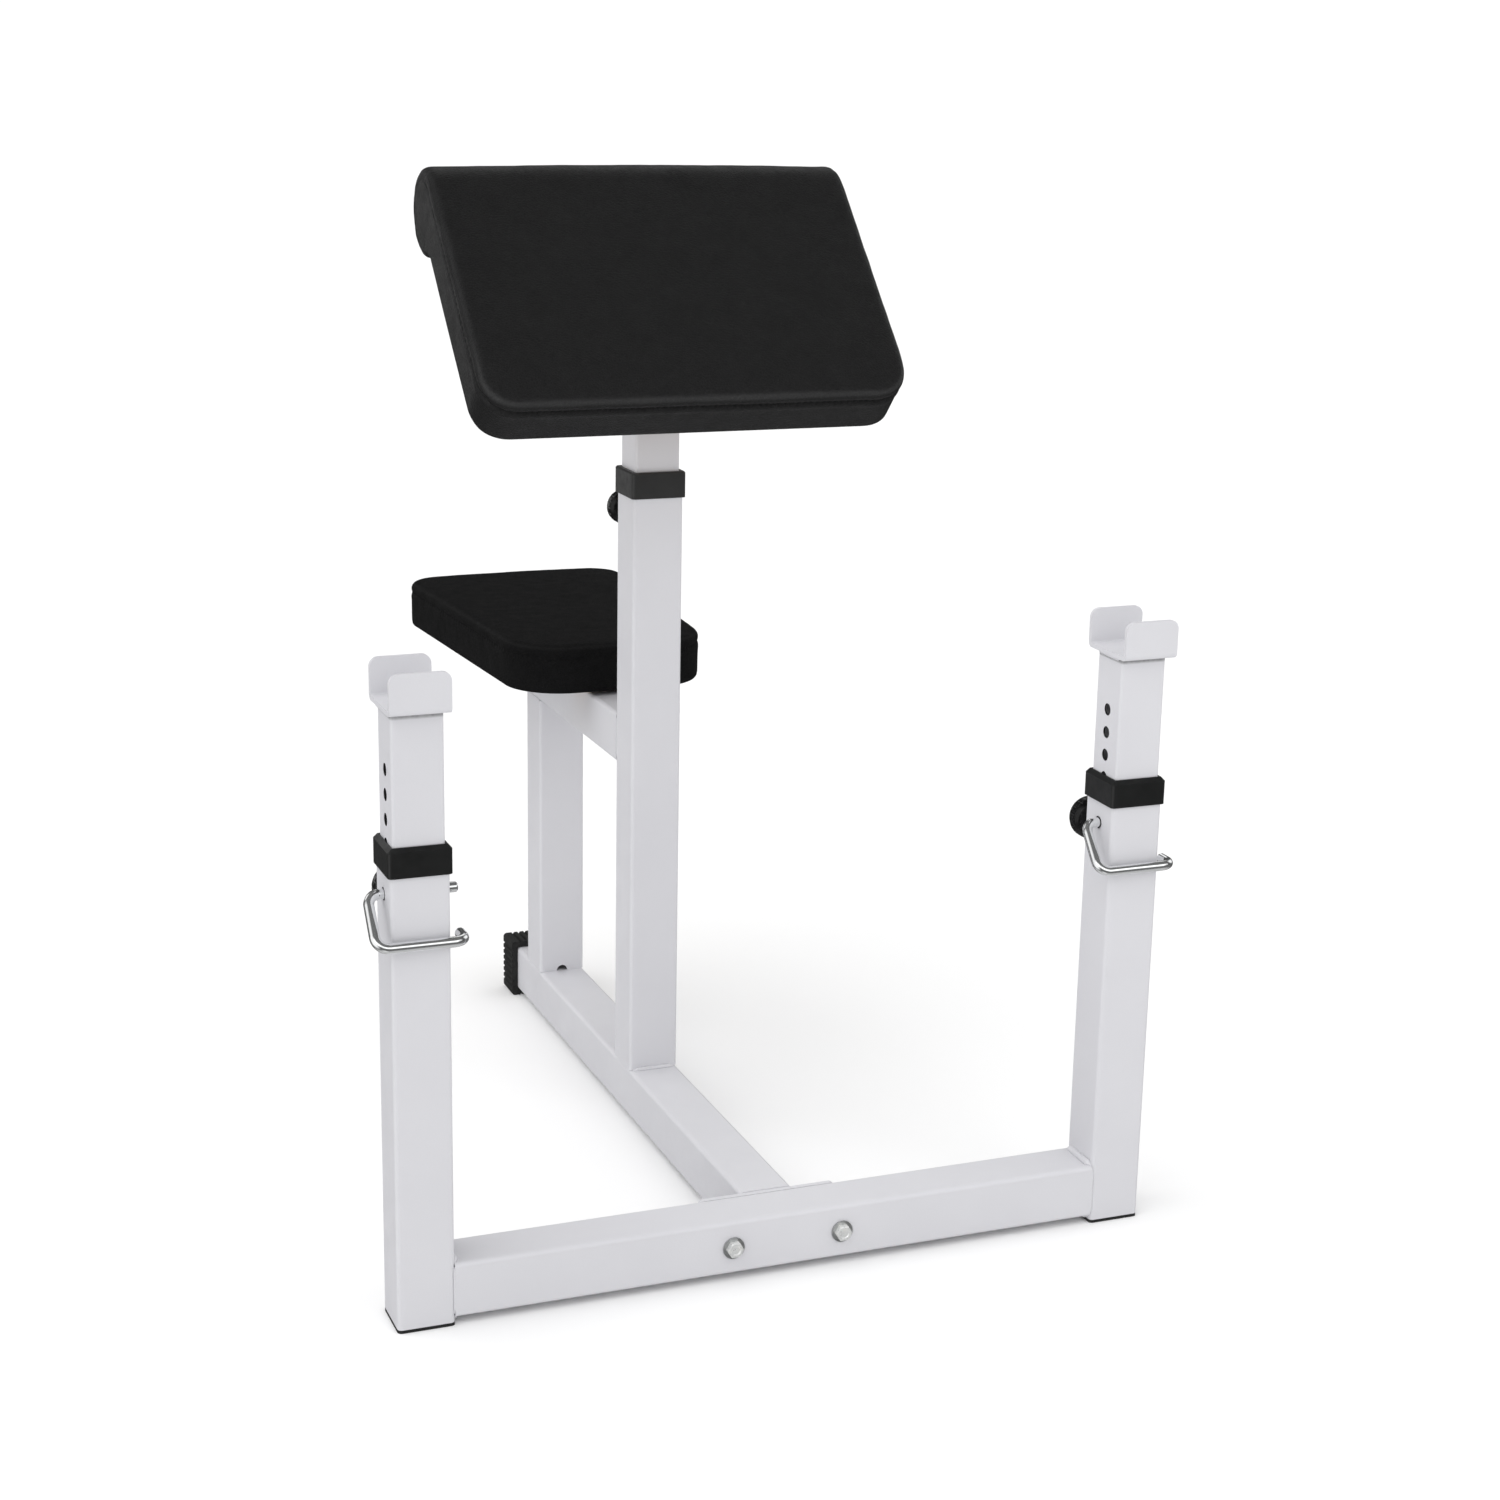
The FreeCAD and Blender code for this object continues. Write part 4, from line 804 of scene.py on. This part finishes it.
# ---------------------------------------------------------------------------
# Weld beads
# ---------------------------------------------------------------------------
class Beads:
    """Fillet welds of one body, gathered into one mesh."""

    def __init__(self, name, body):
        self.name, self.body, self.verts, self.faces, self.count = name, body, [], [], 0

    def run(self, points, legs_a, legs_b, leg, closed=False, taper=True):
        """A rippled fillet along points: legs_a and legs_b are the directions along the two faces it joins."""
        pts, da, db = [Vector(p) for p in points], [Vector(v) for v in legs_a], [Vector(v) for v in legs_b]
        step, fine = 0.0011, []
        pairs = list(zip(range(len(pts)), range(1, len(pts))))
        if closed:
            pairs.append((len(pts) - 1, 0))
        for i, j in pairs:
            length = (pts[j] - pts[i]).length
            n = max(1, round(length / step))
            for k in range(n):
                t = k / n
                fine.append((pts[i].lerp(pts[j], t), da[i].lerp(da[j], t).normalized(), db[i].lerp(db[j], t).normalized()))
        if not closed:
            fine.append((pts[-1], da[-1].normalized(), db[-1].normalized()))
        n, m, first = len(fine), 8, len(self.verts)
        self.count += 1
        seed = self.count * 7.3
        run = 0.0
        for i, (p, a, b) in enumerate(fine):
            if i:
                run += (p - fine[i - 1][0]).length
            ripple = 1 + 0.10 * math.sin(2 * math.pi * run / 0.0034) + 0.16 * noise.noise(Vector((run * 55, seed, 0.0)))
            size = leg * ripple
            if taper and not closed:
                end = min(i, n - 1 - i) * step
                size *= 0.30 + 0.70 * min(1.0, end / 0.0045)
            for j in range(m - 1):
                t = j / (m - 2)
                u, v = 1 - t, t
                bulge = 0.34 * math.sin(math.pi * t)
                out = (a * u + b * v) * size + (a + b).normalized() * size * bulge * 0.72
                if j in (0, m - 2):
                    out -= (a + b) * 0.0005
                self.verts.append(p + out)
            self.verts.append(p - (a + b) * 0.0009)
        for i in range(n if closed else n - 1):
            i2 = (i + 1) % n
            for j in range(m):
                k = (j + 1) % m
                self.faces.append((first + i * m + j, first + i2 * m + j, first + i2 * m + k, first + i * m + k))
        if not closed:
            self.faces.append(tuple(first + j for j in range(m)))
            self.faces.append(tuple(first + (n - 1) * m + j for j in reversed(range(m))))

    def ring(self, centre, axis, radius, leg, sides=48):
        """Round a boss that stands on a face: axis points out of the face."""
        axis = Vector(axis).normalized()
        u = axis.orthogonal().normalized()
        v = axis.cross(u)
        out = [u * math.cos(2 * math.pi * k / sides) + v * math.sin(2 * math.pi * k / sides) for k in range(sides)]
        self.run([Vector(centre) + o * radius for o in out], [axis] * sides, out, leg, closed=True)

    def square(self, centre, u, v, hu, hv, r, leg, wall, skip=()):
        """Round a tube of half sizes hu, hv that stands on a face along the direction wall. skip leaves sides out."""
        centre, u, v, wall = Vector(centre), Vector(u), Vector(v), Vector(wall)
        pts, out, side = [], [], []
        for sx, sy, a0 in ((1, 1, 0), (-1, 1, 90), (-1, -1, 180), (1, -1, 270)):
            for k in range(7):
                a = math.radians(a0 + 15 * k)
                o = u * math.cos(a) + v * math.sin(a)
                pts.append(centre + u * sx * (hu - r) + v * sy * (hv - r) + o * r)
                out.append(o)
                side.append((round(math.cos(a)), round(math.sin(a))))
        if not skip:
            self.run(pts, [wall] * len(pts), out, leg, closed=True)
            return
        for name, (cx, cy) in {"+u": (1, 0), "+v": (0, 1), "-u": (-1, 0), "-v": (0, -1)}.items():
            if name in skip:
                continue
            o = u * cx + v * cy
            t = Vector((-o.y, o.x, 0)) if abs(o.z) < 0.5 and abs(wall.z) > 0.5 else wall.cross(o)
            reach = ((hv if cx else hu) - r * 0.8)
            mid = centre + o * (hu if cx else hv)
            self.run([mid - t * reach, mid + t * reach], [wall] * 2, [o] * 2, leg)

    def make(self):
        obj = mesh_object(self.name, self.verts, self.faces, WHITE)
        bm = bmesh.new()
        bm.from_mesh(obj.data)
        bmesh.ops.recalc_face_normals(bm, faces=bm.faces)
        bm.to_mesh(obj.data)
        bm.free()
        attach(obj, self.body)
        return obj


X, Y, Z = Vector((1, 0, 0)), Vector((0, 1, 0)), Vector((0, 0, 1))
welds = Beads("frame_welds", "frame")
# cross tube into the uprights
for sx in (-1, 1):
    welds.square((sx * 0.305, -0.403, 0.032), Y, Z, 0.025, 0.025, 0.004, 0.0046, -sx * X, skip=("+u", "-u"))
    for sy in (-1, 1):
        welds.run([(sx * 0.3056, -0.403 + sy * 0.0234, 0.0105), (sx * 0.3056, -0.403 + sy * 0.0234, 0.0535)],
                  [-sx * X] * 2, [sy * Y + sx * 0.2 * X] * 2, 0.0021)
# base tube on its bolting plate, whose upper edge is lower than the tube
welds.square((0, -0.373, 0.032), X, Z, 0.025, 0.025, 0.004, 0.0042, Y, skip=("+v",))
# posts on the base tube: fillets across, thin closing runs along the flush sides; none under the seat post's vent
for y, bare in ((-0.042, ()), (0.2635, ("-v",))):
    welds.square((0, y, 0.057), X, Y, 0.025, 0.025, 0.004, 0.0034, Z, skip=("+u", "-u") + bare)
    for sx in (-1, 1):
        welds.run([(sx * 0.0232, y - 0.022, 0.0558), (sx * 0.0232, y + 0.022, 0.0558)], [Z] * 2, [sx * X - Z * 0.2] * 2, 0.0022)
# seat carrier: on the main post, and on top of the seat post
welds.square((0, -0.017, 0.392), X, Z, 0.025, 0.025, 0.004, 0.0040, Y, skip=("+u", "-u"))
for sx in (-1, 1):
    welds.run([(sx * 0.0232, -0.0182, 0.370), (sx * 0.0232, -0.0182, 0.414)], [Y] * 2, [sx * X - Y * 0.2] * 2, 0.0022)
    welds.run([(sx * 0.0232, 0.2415, 0.3682), (sx * 0.0232, 0.2855, 0.3682)], [-Z] * 2, [sx * X + Z * 0.2] * 2, 0.0022)
welds.run([(-0.0215, 0.2385, 0.367), (0.0215, 0.2385, 0.367)], [-Z] * 2, [-Y] * 2, 0.0042)
# stitches between the seat plate and the carrier
for sx in (-1, 1):
    for y in (0.135, 0.195, 0.250):
        welds.run([(sx * 0.0242, y - 0.016, 0.417), (sx * 0.0242, y + 0.016, 0.417)], [-Z] * 2, [sx * X] * 2, 0.0042)
# bosses
for sx in (-1, 1):
    welds.ring((sx * 0.330, -0.378, 0.370), Y, 0.0088, 0.0026)
welds.ring((0, -0.017, 0.613), Y, 0.0110, 0.0030)
welds.make()

for side, sx in (("left", -1), ("right", 1)):
    rest = Beads(side + "_rest_welds", side + "_bar_rest")
    rest.square((sx * 0.330, -0.403, 0.5404), X, Y, 0.0218, 0.0218, 0.003, 0.0034, -Z, skip=("-v",))
    rest.make()

mast = Beads("mast_welds", "pad_mast")
slope_up, slope_out = Vector((0, math.sqrt(0.5), math.sqrt(0.5))), Vector((0, -math.sqrt(0.5), math.sqrt(0.5)))
top = Vector((0, -0.042, 0.823)) - slope_out * 0.004
hx, hs = 0.022, 0.022 * math.sqrt(2)
for s in (-1, 1):
    mast.run([top + s * slope_up * hs - X * 0.019, top + s * slope_up * hs + X * 0.019], [-Z] * 2, [s * slope_up] * 2, 0.0038)
    mast.run([top + s * X * hx - slope_up * 0.027, top + s * X * hx + slope_up * 0.027], [-Z] * 2, [s * X] * 2, 0.0036)
mast.make()

# ---------------------------------------------------------------------------
# Floor, light and camera
# ---------------------------------------------------------------------------
ground = Shader("studio_floor", Specular_IOR_Level=0.1)
ground.bsdf.inputs["Base Color"].default_value = (0.96, 0.96, 0.96, 1)
ground.bsdf.inputs["Roughness"].default_value = 0.9
floor = mesh_object("floor", [(-300, -300, 0), (300, -300, 0), (300, 300, 0), (-300, 300, 0)], [(0, 1, 2, 3)], ground.material, False)
floor.visible_glossy = False


def studio():
    """White all round for soft light, and softboxes in a dim room for what shiny surfaces mirror."""
    world = bpy.data.worlds.new("studio")
    world.use_nodes = True
    tree = world.node_tree
    new, link_ = tree.nodes.new, tree.links.new
    way = new("ShaderNodeTexCoord").outputs["Generated"]
    split = new("ShaderNodeSeparateXYZ")
    link_(way, split.inputs["Vector"])
    room = new("ShaderNodeMapRange")
    room.inputs["From Min"].default_value, room.inputs["From Max"].default_value = -1.0, 1.0
    link_(split.outputs["Z"], room.inputs["Value"])

    def by_height(stops):
        ramp = new("ShaderNodeValToRGB")
        link_(room.outputs["Result"], ramp.inputs["Fac"])
        e = ramp.color_ramp.elements
        while len(e) < len(stops):
            e.new(0.5)
        for item, (at, grey) in zip(e, stops):
            item.position, item.color = at, (grey, grey, grey, 1)
        return ramp.outputs["Color"]

    link_(by_height([(0.0, 1.0), (0.54, 1.0), (0.62, 0.81), (1.0, 0.81)]), tree.nodes["Background"].inputs["Color"])
    tree.nodes["Background"].inputs["Strength"].default_value = 1.06
    total = by_height([(0.0, 0.10), (0.45, 0.07), (0.50, 0.05), (0.65, 0.04), (0.88, 0.09), (1.0, 0.12)])
    boxes = (((-1.0, -0.25, 0.12), 18, 48, 1.00), ((-0.52, -0.68, 0.46), 9, 22, 1.1), ((-0.10, -0.85, 0.46), 9, 22, 1.1),
             ((0.36, -0.82, 0.42), 10, 24, 1.3), ((0.68, -0.55, 0.44), 8, 20, 0.7),
             ((0.30, 0.74, 0.60), 10, 19, 1.0), ((-0.25, -0.70, -0.60), 8, 18, 0.35), ((0.90, 0.35, 0.35), 9, 24, 1.0), ((-0.55, 0.55, 0.62), 8, 20, 1.0),
             ((-0.28, 0.96, 0.03), 6, 16, 0.9), ((0.10, -0.10, -1.0), 30, 62, 0.42))
    for direction, inner, outer, power in boxes:
        dot = new("ShaderNodeVectorMath")
        dot.operation = "DOT_PRODUCT"
        link_(way, dot.inputs[0])
        dot.inputs[1].default_value = Vector(direction).normalized()
        edge = new("ShaderNodeMapRange")
        edge.interpolation_type = "SMOOTHSTEP"
        edge.inputs["From Min"].default_value = math.cos(math.radians(outer))
        edge.inputs["From Max"].default_value = math.cos(math.radians(inner))
        edge.inputs["To Max"].default_value = power
        link_(dot.outputs["Value"], edge.inputs["Value"])
        plus = new("ShaderNodeVectorMath")
        plus.operation = "ADD"
        link_(total, plus.inputs[0])
        link_(edge.outputs["Result"], plus.inputs[1])
        total = plus.outputs["Vector"]
    mirrored = new("ShaderNodeBackground")
    link_(total, mirrored.inputs["Color"])
    pick = new("ShaderNodeMixShader")
    link_(new("ShaderNodeLightPath").outputs["Is Glossy Ray"], pick.inputs["Fac"])
    link_(tree.nodes["Background"].outputs["Background"], pick.inputs[1])
    link_(mirrored.outputs["Background"], pick.inputs[2])
    link_(pick.outputs["Shader"], tree.nodes["World Output"].inputs["Surface"])
    return world


scene.world = studio()

sky = bpy.data.lights.new("overhead", "SUN")
sky.energy, sky.angle = 1.0, math.radians(70)
lamp = link(bpy.data.objects.new("overhead", sky))
lamp.rotation_euler = Vector((0.56, 0.03, -0.83)).to_track_quat("-Z", "Y").to_euler()
lamp.visible_glossy = False

panel = bpy.data.lights.new("front_panel", "AREA")
panel.shape, panel.size, panel.energy = "SQUARE", 1.0, 4.0
lamp = link(bpy.data.objects.new("front_panel", panel))
lamp.location = (0.75, -1.7, 1.45)
lamp.rotation_euler = (Vector((0.05, -0.1, 0.62)) - lamp.location).to_track_quat("-Z", "Y").to_euler()
lamp.visible_glossy = False

scene.view_settings.view_transform = "Standard"

lens = bpy.data.cameras.new("camera")
lens.sensor_fit, lens.sensor_width = "HORIZONTAL", 36.0
lens.lens = 36.0 * 2653.157 / 1500.0
lens.clip_start, lens.clip_end = 0.05, 100
camera = link(bpy.data.objects.new("camera", lens))
pitch, turn, roll = 0.26409, -0.37904, 0.01909
right = Vector((math.cos(turn), math.sin(turn), 0))
level = Vector((-math.sin(turn), math.cos(turn), 0))
ahead = level * math.cos(pitch) - Z * math.sin(pitch)
up = level * math.sin(pitch) + Z * math.cos(pitch)
right, up = right * math.cos(roll) + up * math.sin(roll), up * math.cos(roll) - right * math.sin(roll)
spot = Vector((-0.84045, -2.42409, 1.06768))
camera.matrix_world = Matrix((
    (right.x, up.x, -ahead.x, spot.x), (right.y, up.y, -ahead.y, spot.y), (right.z, up.z, -ahead.z, spot.z), (0, 0, 0, 1)))
scene.camera = camera
